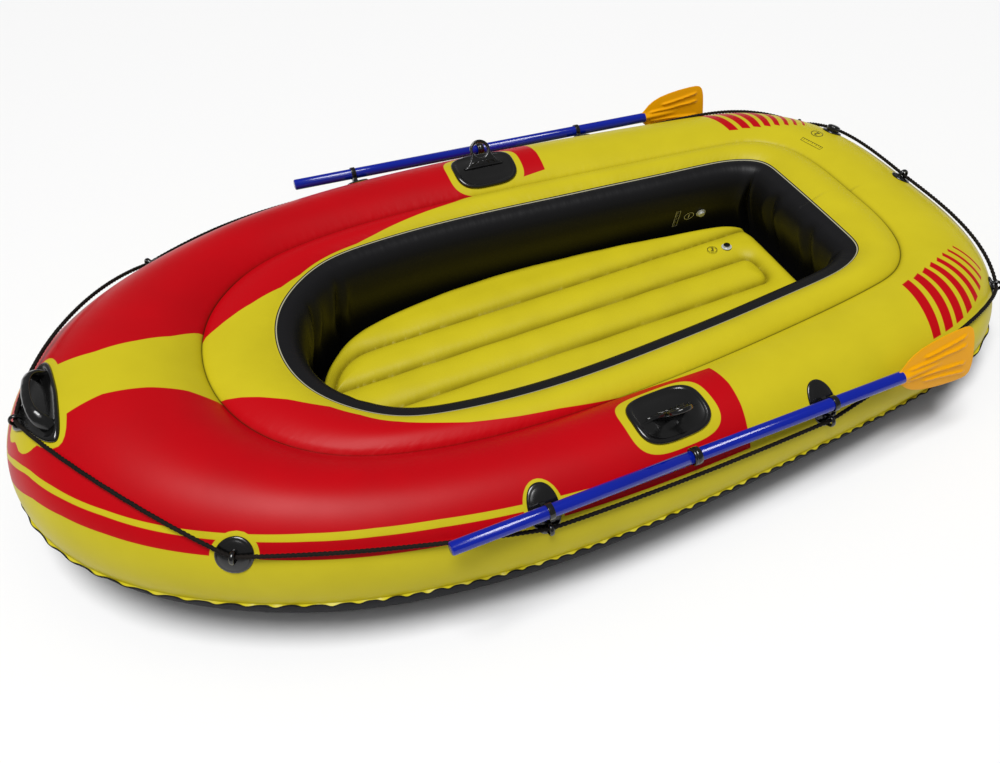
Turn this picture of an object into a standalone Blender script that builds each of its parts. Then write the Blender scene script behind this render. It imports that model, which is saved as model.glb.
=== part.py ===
"""Inflatable boat for two people, with its mattress floor, fittings, grab rope and oars.

Metres, +Z up. The bow points to -X, the stern to +X, port is -Y and starboard is +Y.
A place on the hull is a position round it (0 at the bow, 1 at the stern, negative to port)
and an angle round the outer tube (0 at its side, 90 on top).
"""
import math
from dataclasses import dataclass

import bmesh
import bpy
import numpy as np
from mathutils import Matrix, Vector

# Clearances
GAP = 0.0003
OVERRUN = 0.0012

# Plan of the two outlines that carry the hull: the seam between the two chambers, and the
# cockpit edge, which the inner tube's width sets off from it
SEAM_BOW_X = -0.682
SEAM_LENGTH = 1.500
SEAM_BEAM = 0.722
INNER_TUBE_BOW = 0.147
INNER_TUBE_STERN = 0.107
INNER_TUBE_SIDE = 0.074
COCKPIT_BOW_X = SEAM_BOW_X + INNER_TUBE_BOW
COCKPIT_LENGTH = SEAM_LENGTH - INNER_TUBE_BOW - INNER_TUBE_STERN
COCKPIT_BEAM = SEAM_BEAM - 2.0 * INNER_TUBE_SIDE
SEAM_SHARES = (
    (0.0, 0.0), (0.024, 0.43), (0.061, 0.645), (0.12, 0.825), (0.201, 0.935),
    (0.317, 0.995), (0.445, 1.0), (0.573, 0.97), (0.70, 0.92), (0.817, 0.865),
    (0.891, 0.82), (0.943, 0.755), (0.978, 0.61), (0.994, 0.43), (1.0, 0.0))
COCKPIT_SHARES = (
    (0.0, 0.0), (0.025, 0.445), (0.064, 0.667), (0.125, 0.862), (0.206, 0.957),
    (0.324, 1.0), (0.452, 0.993), (0.581, 0.953), (0.708, 0.906), (0.826, 0.854),
    (0.902, 0.818), (0.952, 0.763), (0.991, 0.639), (0.999, 0.453), (1.0, 0.0))

# Heights
SEAM_HEIGHT = 0.210
BOW_RISE = 0.065
RISE_START_X = 0.60
EDGE_LIFT = 0.004
GROOVE_DEPTH = 0.004

# Outer tube: half width and angle of the seam at the side, the bow and the stern
TUBE_SIDE = 0.126
TUBE_BOW = 0.217
TUBE_STERN = 0.148
LEAN_SIDE = math.radians(49.0)
LEAN_BOW = math.radians(35.0)
LEAN_STERN = math.radians(66.0)
BOW_FADE_POWER = 6.5

# Inner tube
TOP_CROWN = 0.018
WALL_BULGE = 0.035
FOOT_SHARE = 0.6

# Bottom sheet and its welded flange
LOWEST_ANGLE = math.radians(-90.0)
SHEET = 0.0012
WELD_ANGLE = math.radians(-14.0)
FLANGE_WIDTH = 0.012
FLANGE_THICKNESS = 0.0015

# Mattress floor
MATTRESS_SIDE_INSET = 0.023
MATTRESS_END_INSET = 0.058
MATTRESS_SIDE_HEIGHT = 0.036
MATTRESS_SEAM_HEIGHT = 0.052
MATTRESS_CROWN = 0.022
MATTRESS_ROUNDING = 0.036
INNER_SEAM_Y = 0.045
OUTER_SEAM_Y = 0.138
INNER_SEAM_SHARE = 0.24
OUTER_SEAM_SHARE = 0.68

# Fitting pads
PAD_LIFT = 0.0009
STERN_PAD_LIFT = -0.0004
CORNER_PAD_LIFT = -0.0032
PAD = 0.004
PAD_RIM = 0.0015
PAD_SHARES = (0.38, 0.7, 1.0)
PAD_EDGE_SHARE = 0.93

# Grab rope and the eyes that it runs through
ROPE_RADIUS = 0.004
ROPE_CLEARANCE = 0.0014
ROPE_STEP = 0.045
EYE_CLEARANCE = 0.0035
EYE_WIRE_RADIUS = 0.0025
ROPE_PAD_RADIUS = 0.033
ROPE_PAD_PLACE = 0.145
ROPE_PAD_ANGLE = math.radians(35.0)
STERN_PAD_RADIUS = 0.022
STERN_PAD_PLACE = 0.873
STERN_PAD_ANGLE = math.radians(20.0)
STERN_CENTRE_ANGLE = math.radians(54.0)

# Oars
SHAFT_RADIUS = 0.0125
SHAFT_WALL = 0.0015
SPIGOT_LENGTH = 0.060
SPIGOT_WALL = 0.0015
GRIP_HALF_LENGTH = 0.465
BLADE_HALF_LENGTH = 0.447
COLLAR_RADIUS = 0.0168
COLLAR_LENGTH = 0.016
NECK_WALL = 0.0022
NECK_LENGTH = 0.040
NECK_SEAT = 0.030
BLADE_LENGTH = 0.210
BLADE_WIDTH = 0.114
BLADE_THICKNESS = 0.0032
SPINE_TIP_RADIUS = 0.0026
SPINE_SHARE = 0.93
BLADE_TILTS = {-1: math.radians(72.0), 1: math.radians(75.0)}
BLADE_SHARES = (
    (0.0, 0.2), (0.10, 0.38), (0.22, 0.68), (0.36, 0.92), (0.50, 1.0), (0.80, 0.98),
    (0.92, 0.90), (0.98, 0.72), (1.0, 0.40))

# Holders that clip the oars to the hull
HOLDER_HALF_LENGTH = 0.029
HOLDER_HALF_GIRTH = 0.047
HOLDER_PLACES = {'fore': 0.350, 'aft': 0.645}
HOLDER_ANGLES = {
    -1: {'fore': math.radians(42.0), 'aft': math.radians(38.0)},
    1: {'fore': math.radians(39.0), 'aft': math.radians(28.0)}}
HOLDER_ROPE_DROP = 0.034
SHAFT_STAND = 0.030
CLIP_WALL = 0.0035
CLIP_WIDTH = 0.012
CLIP_OPENING = math.radians(110.0)
CLIP_FOOT_HALF = 0.008
GRIP_ENDS_TO_CLIPS = {-1: 0.182, 1: 0.144}

# Oarlocks
OARLOCK_PLACE = 0.493
OARLOCK_ANGLES = {-1: math.radians(84.0), 1: math.radians(98.0)}
OARLOCK_HALF_LENGTH = 0.076
OARLOCK_HALF_GIRTH = 0.057
RING_HOLE_RADIUS = 0.018
RING_BAND = 0.007
RING_HEIGHT = 0.042
RING_THICKNESS = 0.009
RING_BASE_HALF = 0.050
RING_FOOT = 0.0054
FLARE_SHARE = 0.72
RING_LEANS = {-1: math.radians(37.0), 1: math.radians(50.0)}

# Bow handle
HANDLE_ANGLE = math.radians(59.0)
HANDLE_HALF_LENGTH = 0.108
HANDLE_HALF_GIRTH = 0.038
HANDLE_LOBE = 1.0
HANDLE_LOBE_WIDTH = 0.024
GRIP_HALF = 0.070
GRIP_RISE = 0.034
GRIP_RADIUS = 0.006
GRIP_OFFSET = -0.004
GRIP_SHARES = ((-1.0, 0.0), (-0.86, 0.60), (-0.58, 0.90), (0.0, 1.0), (0.58, 0.90), (0.86, 0.60), (1.0, 0.0))
HANDLE_EYE_DROP = 0.055

# Valves
SCREW_VALVE_PLACE = 0.902
SCREW_VALVE_ANGLE = math.radians(54.0)
SCREW_FLANGE_RADIUS = 0.024
SCREW_NECK_RADIUS = 0.0125
SCREW_NECK_HEIGHT = 0.013
SCREW_CAP_WALL = 0.0035
SCREW_CAP_TOP = 0.0045
WALL_VALVE_PLACE = 0.780
WALL_VALVE_SHARE = 0.52
FLOOR_VALVE_INSET = 0.095
VALVE_FLANGE_RADIUS = 0.0125
VALVE_FLANGE = 0.0015
VALVE_BOSS_RADIUS = 0.0085
VALVE_BOSS_HEIGHT = 0.0050
VALVE_BORE_RADIUS = 0.0055
PLUG_HEAD_RADIUS = 0.0080
PLUG_HEAD = 0.0020

# Counts
STATIONS = 72
TUBE_STEPS = 14
UNDER_STEPS = 5
TOP_STEPS = 3
WALL_STEPS = 6
ARCH_STEPS = 5
ROUND_STEPS = 20
ROPE_PASSES = 100

SIDES = {'port': -1, 'starboard': 1}

parts = bpy.data.collections.new('inflatable_boat')
tools = bpy.data.collections.new('cutters')


def material(name, colour, roughness, metallic=0.0):
    """A plain finish of one colour."""
    made = bpy.data.materials.new(name)
    made.use_nodes = True
    shader = made.node_tree.nodes['Principled BSDF']
    shader.inputs['Base Color'].default_value = (*colour, 1.0)
    shader.inputs['Roughness'].default_value = roughness
    shader.inputs['Metallic'].default_value = metallic
    return made


YELLOW = material('yellow_vinyl', (0.75, 0.60, 0.03), 0.40)
BLACK_VINYL = material('black_vinyl', (0.02, 0.02, 0.022), 0.45)
BLACK_PLASTIC = material('black_plastic', (0.012, 0.012, 0.013), 0.25)
BLUE_TUBE = material('blue_tube', (0.01, 0.03, 0.35), 0.15)
ORANGE_PLASTIC = material('orange_plastic', (0.85, 0.35, 0.01), 0.30)
CLEAR_PLASTIC = material('clear_plastic', (0.55, 0.58, 0.62), 0.20)
ROPE_BLACK = material('black_rope', (0.02, 0.02, 0.02), 0.85)


def own(finish, name):
    """A copy of a finish for one node."""
    copy = finish.copy()
    copy.name = f'{finish.name}_{name}'
    return copy


def add_object(name, mesh, finish, matrix=None, parent=None, sharp=math.radians(35.0)):
    """Put a mesh in the part's collection under its node's name."""
    mesh.name = name
    mesh.materials.clear()
    mesh.materials.append(own(finish, name))
    mesh.shade_smooth()
    mesh.set_sharp_from_angle(angle=sharp)
    made = bpy.data.objects.new(name, mesh)
    parts.objects.link(made)
    made.parent = parent
    if matrix is not None:
        made.matrix_local = matrix
    return made


def add_tool(name, mesh, matrix):
    """Put a mesh in the cutters' collection, as a wire shape that isn't part of the boat."""
    made = bpy.data.objects.new(name, mesh)
    tools.objects.link(made)
    made.matrix_world = matrix
    made.display_type = 'WIRE'
    made.hide_render = True
    return made


def join(base, tool):
    """Fuse a tool's shape to a part."""
    step = base.modifiers.new('join', 'BOOLEAN')
    step.operation = 'UNION'
    step.solver = 'EXACT'
    step.object = tool


# Curves and lofts

def closed_outline(shares, bow_x, length, beam):
    """Whole outline from its starboard half: bow, starboard side, stern, port side."""
    half = np.array(shares) * (length, beam / 2.0) + (bow_x, 0.0)
    return np.concatenate([half, half[-2:0:-1] * (1.0, -1.0)])


def closed_spline(knots, values, places):
    """Smooth closed curve through values, at places along the knots."""
    count = len(values)
    span = np.diff(knots)
    system = np.zeros((count, count))
    pull = np.zeros_like(values)
    for i in range(count):
        before, after = span[i - 1], span[i]
        following = (i + 1) % count
        system[i, i - 1] += before
        system[i, i] += 2.0 * (before + after)
        system[i, following] += after
        rise = (values[following] - values[i]) / after
        pull[i] = 6.0 * (rise - (values[i] - values[i - 1]) / before)
    bend = np.linalg.solve(system, pull)
    places = np.mod(places, knots[-1])
    i = np.clip(np.searchsorted(knots, places, side='right') - 1, 0, count - 1)
    j = (i + 1) % count
    width = span[i][:, None]
    into = (places - knots[i])[:, None]
    left = width - into
    curve = (bend[i] * left ** 3 + bend[j] * into ** 3) / (6.0 * width)
    curve += (values[i] / width - bend[i] * width / 6.0) * left
    curve += (values[j] / width - bend[j] * width / 6.0) * into
    return curve


def loft(rings, centres=None):
    """Closed body through rings of points, joined end to end or fanned to two centres."""
    mesh = bmesh.new()
    rows = [[mesh.verts.new(point) for point in ring] for ring in rings]
    count = len(rows[0])
    pairs = list(zip(rows[:-1], rows[1:]))
    if centres is None:
        pairs.append((rows[-1], rows[0]))
    for lower, upper in pairs:
        for i in range(count):
            j = (i + 1) % count
            mesh.faces.new((lower[i], lower[j], upper[j], upper[i]))
    if centres is not None:
        for row, centre in zip((rows[0], rows[-1]), centres):
            middle = mesh.verts.new(centre)
            for i in range(count):
                mesh.faces.new((row[i], row[(i + 1) % count], middle))
    return finished(mesh)


def finished(mesh):
    """Turn all faces outwards and make the mesh data."""
    bmesh.ops.recalc_face_normals(mesh, faces=mesh.faces)
    if mesh.calc_volume(signed=True) < 0.0:
        bmesh.ops.reverse_faces(mesh, faces=mesh.faces)
    made = bpy.data.meshes.new('shape')
    mesh.to_mesh(made)
    mesh.free()
    return made


# Hull shape

@dataclass
class Sections:
    """Cross sections of the hull at places round it."""

    seam: np.ndarray
    edge: np.ndarray
    out: np.ndarray
    edge_out: np.ndarray
    seam_z: np.ndarray
    edge_z: np.ndarray
    half_width: np.ndarray
    half_height: np.ndarray
    lean: np.ndarray


SEAM_OUTLINE = closed_outline(SEAM_SHARES, SEAM_BOW_X, SEAM_LENGTH, SEAM_BEAM)
EDGE_OUTLINE = closed_outline(COCKPIT_SHARES, COCKPIT_BOW_X, COCKPIT_LENGTH, COCKPIT_BEAM)
CHORDS = np.linalg.norm(np.roll(SEAM_OUTLINE, -1, axis=0) - SEAM_OUTLINE, axis=1)
KNOTS = np.concatenate([[0.0], np.cumsum(CHORDS)])
FLOOR_Z = SHEET + GAP


def outward(outline, places):
    """Unit normals of an outline, away from the cockpit."""
    step = KNOTS[-1] / (STATIONS * STATIONS)
    ahead = closed_spline(KNOTS, outline, places + step)
    behind = closed_spline(KNOTS, outline, places - step)
    run = ahead - behind
    run /= np.linalg.norm(run, axis=1)[:, None]
    return np.stack([-run[:, 1], run[:, 0]], axis=1)


def sheer(x):
    """Height of the seam: level aft, rising in a curve to the bow."""
    reach = np.clip(RISE_START_X - x, 0.0, None) / (RISE_START_X - SEAM_BOW_X)
    return SEAM_HEIGHT + BOW_RISE * reach ** 2


def sections(where):
    """Sections at positions from -1 (stern, port way round) over 0 (bow) to 1 (stern)."""
    where = np.atleast_1d(np.asarray(where, dtype=float))
    places = (where / 2.0 % 1.0) * KNOTS[-1]
    seam = closed_spline(KNOTS, SEAM_OUTLINE, places)
    edge = closed_spline(KNOTS, EDGE_OUTLINE, places)
    ends = np.cos(math.pi * where) ** 2
    forward = np.abs((where + 1.0) % 2.0 - 1.0) < 0.5
    bow = np.where(forward, ends ** BOW_FADE_POWER, 0.0)
    stern = np.where(forward, 0.0, ends)
    side = 1.0 - bow - stern
    half_width = side * TUBE_SIDE + bow * TUBE_BOW + stern * TUBE_STERN
    lean = side * LEAN_SIDE + bow * LEAN_BOW + stern * LEAN_STERN
    seam_z = sheer(seam[:, 0])
    half_height = (seam_z - FLOOR_Z) / (1.0 + np.sin(lean))
    return Sections(seam, edge, outward(SEAM_OUTLINE, places), outward(EDGE_OUTLINE, places),
                    seam_z, sheer(edge[:, 0]) + EDGE_LIFT, half_width, half_height, lean)


def tube_points(cut, angle, offset):
    """Points of the outer tube's surface at an angle, moved out by an offset."""
    reach = cut.half_width * np.cos(cut.lean) + (cut.half_width + offset) * np.cos(angle)
    z = FLOOR_Z + cut.half_height + (cut.half_height + offset) * np.sin(angle)
    return np.column_stack([cut.seam + cut.out * reach[:, None], z])


def hull_point(where, angle, offset=0.0):
    """One point on the outer tube."""
    return Vector(tube_points(sections(where), angle, offset)[0])


def hull_rates(where, angle):
    """Metres per unit of position and per radian at a place on the outer tube."""
    step = 1.0 / STATIONS / STATIONS
    along = hull_point(where + step, angle) - hull_point(where - step, angle)
    round_ = hull_point(where, angle + step) - hull_point(where, angle - step)
    return along / (2.0 * step), round_ / (2.0 * step)


def hull_matrix(where, angle, offset=0.0):
    """Frame on the outer tube: X along the hull, Y down its outside, Z straight out."""
    along, round_ = hull_rates(where, angle)
    x_axis = along.normalized()
    z_axis = round_.cross(along).normalized()
    y_axis = z_axis.cross(x_axis)
    axes = Matrix((x_axis, y_axis, z_axis)).transposed().to_4x4()
    return Matrix.Translation(hull_point(where, angle) + z_axis * offset) @ axes


def shifted(where, angle, along, down):
    """Position and angle of a place some way along and down from another."""
    rate_along, rate_round = hull_rates(where, angle)
    return where + along / rate_along.length, angle - down / rate_round.length


def draped(where, angle, points):
    """Lay points (along, down, out) on the outer tube, round a place."""
    rate_along, rate_round = hull_rates(where, angle)
    points = np.asarray(points, dtype=float)
    cut = sections(where + points[:, 0] / rate_along.length)
    turned = angle - points[:, 1] / rate_round.length
    return tube_points(cut, turned, points[:, 2])


def inner_wall(cut, share):
    """Points of the inner tube's cockpit wall, from the edge (0) down to the foot (1)."""
    height = cut.edge_z - (cut.edge_z - FLOOR_Z) * share
    inset = 4.0 * WALL_BULGE * share * (1.0 - share)
    return np.column_stack([cut.edge - cut.edge_out * inset, height])


# Chambers, bottom and floor

def station_places():
    """Evenly spaced positions round the hull."""
    return np.arange(STATIONS) * 2.0 / STATIONS


def under_angles():
    """Angles of the outer tube from its lowest line up to the weld."""
    return np.linspace(LOWEST_ANGLE, WELD_ANGLE, UNDER_STEPS + 1)


def make_outer_chamber():
    """Outer tube, closed inboard by the wall that it shares with the inner tube."""
    cut = sections(station_places())
    rings = []
    for i in range(TUBE_STEPS + 1):
        share = i / TUBE_STEPS
        angle = WELD_ANGLE + (math.pi - cut.lean - WELD_ANGLE) * share
        rings.append(tube_points(cut, angle, np.zeros(STATIONS)))
    rings[-1][:, 2] -= GROOVE_DEPTH
    for share in (0.0, 1.0 / 3.0, 2.0 / 3.0):
        angle = -math.pi + cut.lean + (math.pi + LOWEST_ANGLE - cut.lean) * share
        rings.append(tube_points(cut, angle, np.zeros(STATIONS)))
    for angle in under_angles()[:-1]:
        rings.append(tube_points(cut, angle, np.zeros(STATIONS)))
    add_object('outer_chamber', loft(rings), YELLOW)


def make_inner_chamber():
    """Inner tube: crowned top, wall that swells into the cockpit, flat foot."""
    cut = sections(station_places())
    inner = cut.seam - cut.out * GAP
    low = FLOOR_Z + cut.half_height * (1.0 - np.sin(cut.lean))
    rings = [np.column_stack([inner, low]), np.column_stack([inner, cut.seam_z - GROOVE_DEPTH])]
    for i in range(1, TOP_STEPS):
        share = i / TOP_STEPS
        flat = inner + (cut.edge - inner) * share
        crown = 4.0 * TOP_CROWN * share * (1.0 - share)
        rings.append(np.column_stack([flat, cut.seam_z + (cut.edge_z - cut.seam_z) * share + crown]))
    for i in range(WALL_STEPS + 1):
        rings.append(inner_wall(cut, i / WALL_STEPS))
    foot = rings[-1].copy()
    foot[:, :2] += (inner - foot[:, :2]) * FOOT_SHARE
    rings.append(foot)
    add_object('inner_chamber', loft(rings), BLACK_VINYL)


def make_bottom_sheet():
    """Bottom skin: up the outside of the tube to the weld, and flat underneath."""
    cut = sections(station_places())
    near = np.full(STATIONS, GAP)
    far = np.full(STATIONS, GAP + SHEET)
    rings = [tube_points(cut, angle, near) for angle in under_angles()]
    rings += [tube_points(cut, angle, far) for angle in under_angles()[::-1]]
    centres = [ring.mean(axis=0) for ring in (rings[0], rings[-1])]
    add_object('bottom_sheet', loft(rings, centres), BLACK_VINYL)


def make_perimeter_flange():
    """Weld flange that stands out from the tube over the edge of the bottom skin."""
    cut = sections(station_places())
    pace = np.hypot(cut.half_width * math.sin(WELD_ANGLE), cut.half_height * math.cos(WELD_ANGLE))
    lower = WELD_ANGLE + GAP / pace
    upper = lower + FLANGE_THICKNESS / pace
    near = np.full(STATIONS, GAP)
    far = np.full(STATIONS, GAP + FLANGE_WIDTH)
    rings = [tube_points(cut, lower, near), tube_points(cut, lower, far),
             tube_points(cut, upper, far), tube_points(cut, upper, near)]
    add_object('perimeter_flange', loft(rings), YELLOW)


def mattress_outline():
    """Starboard half of the mattress in plan, from bow to stern, with x rising."""
    where = np.linspace(0.0, 1.0, 4 * STATIONS)
    cut = sections(where)
    inset = MATTRESS_SIDE_INSET + (MATTRESS_END_INSET - MATTRESS_SIDE_INSET) * np.cos(math.pi * where) ** 2
    line = cut.edge - cut.edge_out * inset[:, None]
    keep = np.concatenate([[True], np.diff(np.maximum.accumulate(line[:, 0])) > 0.0])
    return line[keep]


def mattress_seams(half_width):
    """Distances of the two welded seams from the middle, drawn in where the floor narrows."""
    inner = np.minimum(INNER_SEAM_Y, INNER_SEAM_SHARE * half_width)
    outer = np.minimum(OUTER_SEAM_Y, OUTER_SEAM_SHARE * half_width)
    return inner, outer


def mattress_half_width(x, outline):
    """Half width of the mattress, held just short of its flat ends."""
    hold = MATTRESS_ROUNDING / 8.0
    return np.interp(np.clip(x, outline[0, 0] + hold, outline[-1, 0] - hold), *outline.T)


def mattress_top(x, y, outline):
    """Height of the mattress's top and underside at a point."""
    half_width = mattress_half_width(x, outline)
    inner, outer = mattress_seams(half_width)
    away = abs(y)
    if away <= inner:
        swell = math.cos(math.pi / 2.0 * away / inner)
    elif away <= outer:
        swell = math.sin(math.pi * (away - inner) / (outer - inner))
    else:
        swell = math.sin(math.pi * min((away - outer) / (half_width - outer), 0.5))
    ends = min(x - outline[0, 0], outline[-1, 0] - x)
    depth = min(half_width - away, ends)
    rounding = math.sqrt(max(0.0, 1.0 - (1.0 - min(depth / MATTRESS_ROUNDING, 1.0)) ** 2))
    full = MATTRESS_SEAM_HEIGHT + MATTRESS_CROWN * swell
    top = MATTRESS_SIDE_HEIGHT + (full - MATTRESS_SIDE_HEIGHT) * rounding
    under = MATTRESS_SIDE_HEIGHT - (MATTRESS_SIDE_HEIGHT - FLOOR_Z) * rounding
    return top, under


def mattress_rows(outline):
    """Stations along the mattress, closer together at its rounded ends."""
    start, end = outline[0, 0], outline[-1, 0]
    close = [MATTRESS_ROUNDING * share for share in (0.0, 0.12, 0.45, 1.0)]
    middle = np.linspace(start + 2.2 * MATTRESS_ROUNDING, end - 2.2 * MATTRESS_ROUNDING, 15)
    return np.concatenate([[start + step for step in close], middle,
                           [end - step for step in reversed(close)]])


def mattress_columns(half_width):
    """Distances across the mattress: seams, crowns and the rounded border."""
    inner, outer = mattress_seams(half_width)
    half = [0.0, inner * 0.55, inner, inner + (outer - inner) * 0.25, (inner + outer) / 2.0,
            outer - (outer - inner) * 0.25, outer]
    border = half_width - outer
    half += [half_width - border * share for share in (0.62, 0.34, 0.15, 0.04, 0.0)]
    return np.array([-y for y in reversed(half[1:])] + half)


def make_floor_mattress():
    """Air mattress floor with lengthwise channels and a rounded border."""
    outline = mattress_outline()
    start, end = outline[0, 0], outline[-1, 0]
    mesh = bmesh.new()
    tops, unders = [], []
    for x in mattress_rows(outline):
        columns = mattress_columns(mattress_half_width(x, outline))
        top_row, under_row = [], []
        for y in columns:
            if y in (columns[0], columns[-1]) or x in (start, end):
                rim = mesh.verts.new((x, y, MATTRESS_SIDE_HEIGHT))
                top_row.append(rim)
                under_row.append(rim)
                continue
            top, under = mattress_top(x, y, outline)
            top_row.append(mesh.verts.new((x, y, top)))
            under_row.append(mesh.verts.new((x, y, under)))
        tops.append(top_row)
        unders.append(under_row)
    for grid in (tops, unders):
        for j in range(len(grid) - 1):
            row, following = grid[j], grid[j + 1]
            for i in range(len(row) - 1):
                first, second, third, fourth = row[i], row[i + 1], following[i + 1], following[i]
                if (j < len(grid) // 2) != (i < len(row) // 2):
                    first, second, third, fourth = second, third, fourth, first
                mesh.faces.new((first, second, third))
                mesh.faces.new((first, third, fourth))
    add_object('floor_mattress', finished(mesh), YELLOW)
    return outline


# Pads and small shapes

def pad_points(half_along, half_down, power, share, height, lobe):
    """One ring of a pad's outline, from an ellipse (2) towards a rectangle (more)."""
    turns = np.arange(ROUND_STEPS) * 2.0 * math.pi / ROUND_STEPS
    x, y = np.cos(turns), np.sin(turns)
    reach = share / (np.abs(x) ** power + np.abs(y) ** power) ** (1.0 / power)
    x, y = x * reach * half_along, y * reach * half_down
    y += np.clip(y, 0.0, None) * lobe * np.exp(-(x / HANDLE_LOBE_WIDTH) ** 2)
    return np.column_stack([x, y, np.full(ROUND_STEPS, height)])


def make_pad(name, where, angle, half_along, half_down, power=2.0, lift=PAD_LIFT, lobe=0.0):
    """Moulded pad that follows the outer tube, thinner at its rim."""
    top = lift + PAD
    levels = [(share, lift) for share in PAD_SHARES]
    levels += [(1.0, lift + PAD_RIM), (PAD_EDGE_SHARE, top)]
    levels += [(share, top) for share in reversed(PAD_SHARES[:-1])]
    home = hull_matrix(where, angle)
    back = home.inverted()
    rings = []
    for share, height in levels:
        points = pad_points(half_along, half_down, power, share, height, lobe)
        ring = draped(where, angle, points)
        rings.append([back @ Vector(point) for point in ring])
    middles = draped(where, angle, ((0.0, 0.0, lift), (0.0, 0.0, top)))
    centres = [back @ Vector(point) for point in middles]
    return add_object(name, loft(rings, centres), BLACK_PLASTIC, home)


def curve_mesh(points, radius, cyclic=False):
    """Round wire through points, as a welded mesh."""
    line = bpy.data.curves.new('wire', 'CURVE')
    line.dimensions = '3D'
    line.bevel_depth = radius
    line.bevel_resolution = 2
    line.use_fill_caps = not cyclic
    spline = line.splines.new('POLY')
    spline.points.add(len(points) - 1)
    for target, point in zip(spline.points, points):
        target.co = (*point, 1.0)
    spline.use_cyclic_u = cyclic
    return as_mesh(line)


def outline_mesh(loops, thickness):
    """Flat plate with the given outlines, the later ones as holes."""
    line = bpy.data.curves.new('plate', 'CURVE')
    line.dimensions = '2D'
    line.fill_mode = 'BOTH'
    line.extrude = thickness / 2.0
    for loop in loops:
        spline = line.splines.new('POLY')
        spline.points.add(len(loop) - 1)
        for target, point in zip(spline.points, loop):
            target.co = (point[0], point[1], 0.0, 1.0)
        spline.use_cyclic_u = True
    return as_mesh(line)


def as_mesh(line):
    """Turn curve data into one closed mesh and remove the curve."""
    holder = bpy.data.objects.new('curve', line)
    tools.objects.link(holder)
    graph = bpy.context.evaluated_depsgraph_get()
    made = bpy.data.meshes.new_from_object(holder.evaluated_get(graph))
    bpy.data.objects.remove(holder)
    mesh = bmesh.new()
    mesh.from_mesh(made)
    bmesh.ops.remove_doubles(mesh, verts=mesh.verts, dist=GAP / 10.0)
    bmesh.ops.recalc_face_normals(mesh, faces=mesh.faces)
    mesh.to_mesh(made)
    mesh.free()
    return made


def turn(made):
    """Turn an object's profile round Z."""
    step = made.modifiers.new('turn', 'SCREW')
    step.axis = 'Z'
    step.steps = ROUND_STEPS
    step.render_steps = ROUND_STEPS
    step.use_merge_vertices = True
    step.merge_threshold = GAP / 10.0
    step.use_smooth_shade = True


def profile_mesh(profile):
    """Edges through (radius, height) points, closed unless they start on the axis."""
    mesh = bpy.data.meshes.new('profile')
    count = len(profile)
    edges = [(i, i + 1) for i in range(count - 1)]
    if profile[0][0] > 0.0:
        edges.append((count - 1, 0))
    mesh.from_pydata([(radius, 0.0, height) for radius, height in profile], edges, [])
    return mesh


def rope_offset():
    """Height of the rope's middle over the hull, just clear of the pads."""
    return PAD_LIFT + PAD + ROPE_CLEARANCE + ROPE_RADIUS


def add_eye(base, where, place_angle, lift=PAD_LIFT):
    """Arched eye over the rope, fused to a pad."""
    reach = ROPE_RADIUS + EYE_CLEARANCE + EYE_WIRE_RADIUS
    foot = lift + PAD / 2.0 - rope_offset()
    arch = [(0.0, -reach, foot)]
    for i in range(ARCH_STEPS + 1):
        angle = math.pi * (1.0 - i / ARCH_STEPS)
        arch.append((0.0, reach * math.cos(angle), reach * math.sin(angle)))
    arch.append((0.0, reach, foot))
    wire = curve_mesh(arch, EYE_WIRE_RADIUS)
    tool = add_tool(f'{base.name}_eye', wire, hull_matrix(where, place_angle, rope_offset()))
    join(base, tool)


# Rope holders

def make_rope_holder(name, where, angle, radius, lift=PAD_LIFT):
    """Round pad with one eye for the grab rope."""
    pad = make_pad(name, where, angle, radius, radius, lift=lift)
    add_eye(pad, where, angle, lift)


def make_rope_holders():
    """Five rope holders: two at the bow, three at the stern."""
    for side_name, side in SIDES.items():
        make_rope_holder(f'rope_holder_{side_name}_bow', side * ROPE_PAD_PLACE, ROPE_PAD_ANGLE,
                         ROPE_PAD_RADIUS)
        make_rope_holder(f'rope_holder_{side_name}_stern', side * STERN_PAD_PLACE,
                         STERN_PAD_ANGLE, STERN_PAD_RADIUS, CORNER_PAD_LIFT)
    make_rope_holder('rope_holder_stern_centre', 1.0, STERN_CENTRE_ANGLE, STERN_PAD_RADIUS)


# Oars and their holders

def clip_point(side, end):
    """Middle of the shaft over an oar holder."""
    frame = hull_matrix(side * HOLDER_PLACES[end], HOLDER_ANGLES[side][end], SHAFT_STAND)
    return frame.translation


def shaft_direction(side):
    """Unit vector along an oar, from its grip to its blade."""
    return (clip_point(side, 'aft') - clip_point(side, 'fore')).normalized()


def clip_outline():
    """C shaped clip round the shaft, open outwards, on a foot that reaches into its pad."""
    inner = SHAFT_RADIUS + GAP
    outer = inner + CLIP_WALL
    start = math.pi / 2.0 + CLIP_OPENING / 2.0
    sweep = 2.0 * math.pi - CLIP_OPENING
    half_foot = math.asin(CLIP_FOOT_HALF / outer)
    bottom = 1.5 * math.pi
    steps = 12
    turns = [start + sweep * i / steps for i in range(steps + 1)]
    outside = []
    for turn in turns:
        if abs(turn - bottom) > half_foot:
            outside.append((outer * math.cos(turn), outer * math.sin(turn)))
    base = OVERRUN - SHAFT_STAND
    split = sum(1 for turn in turns if turn < bottom - half_foot)
    foot = [(-CLIP_FOOT_HALF, -outer * math.cos(half_foot)), (-CLIP_FOOT_HALF, base),
            (CLIP_FOOT_HALF, base), (CLIP_FOOT_HALF, -outer * math.cos(half_foot))]
    outside = outside[:split] + foot + outside[split:]
    inside = [(inner * math.cos(turn), inner * math.sin(turn)) for turn in reversed(turns)]
    return outside + inside


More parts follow.
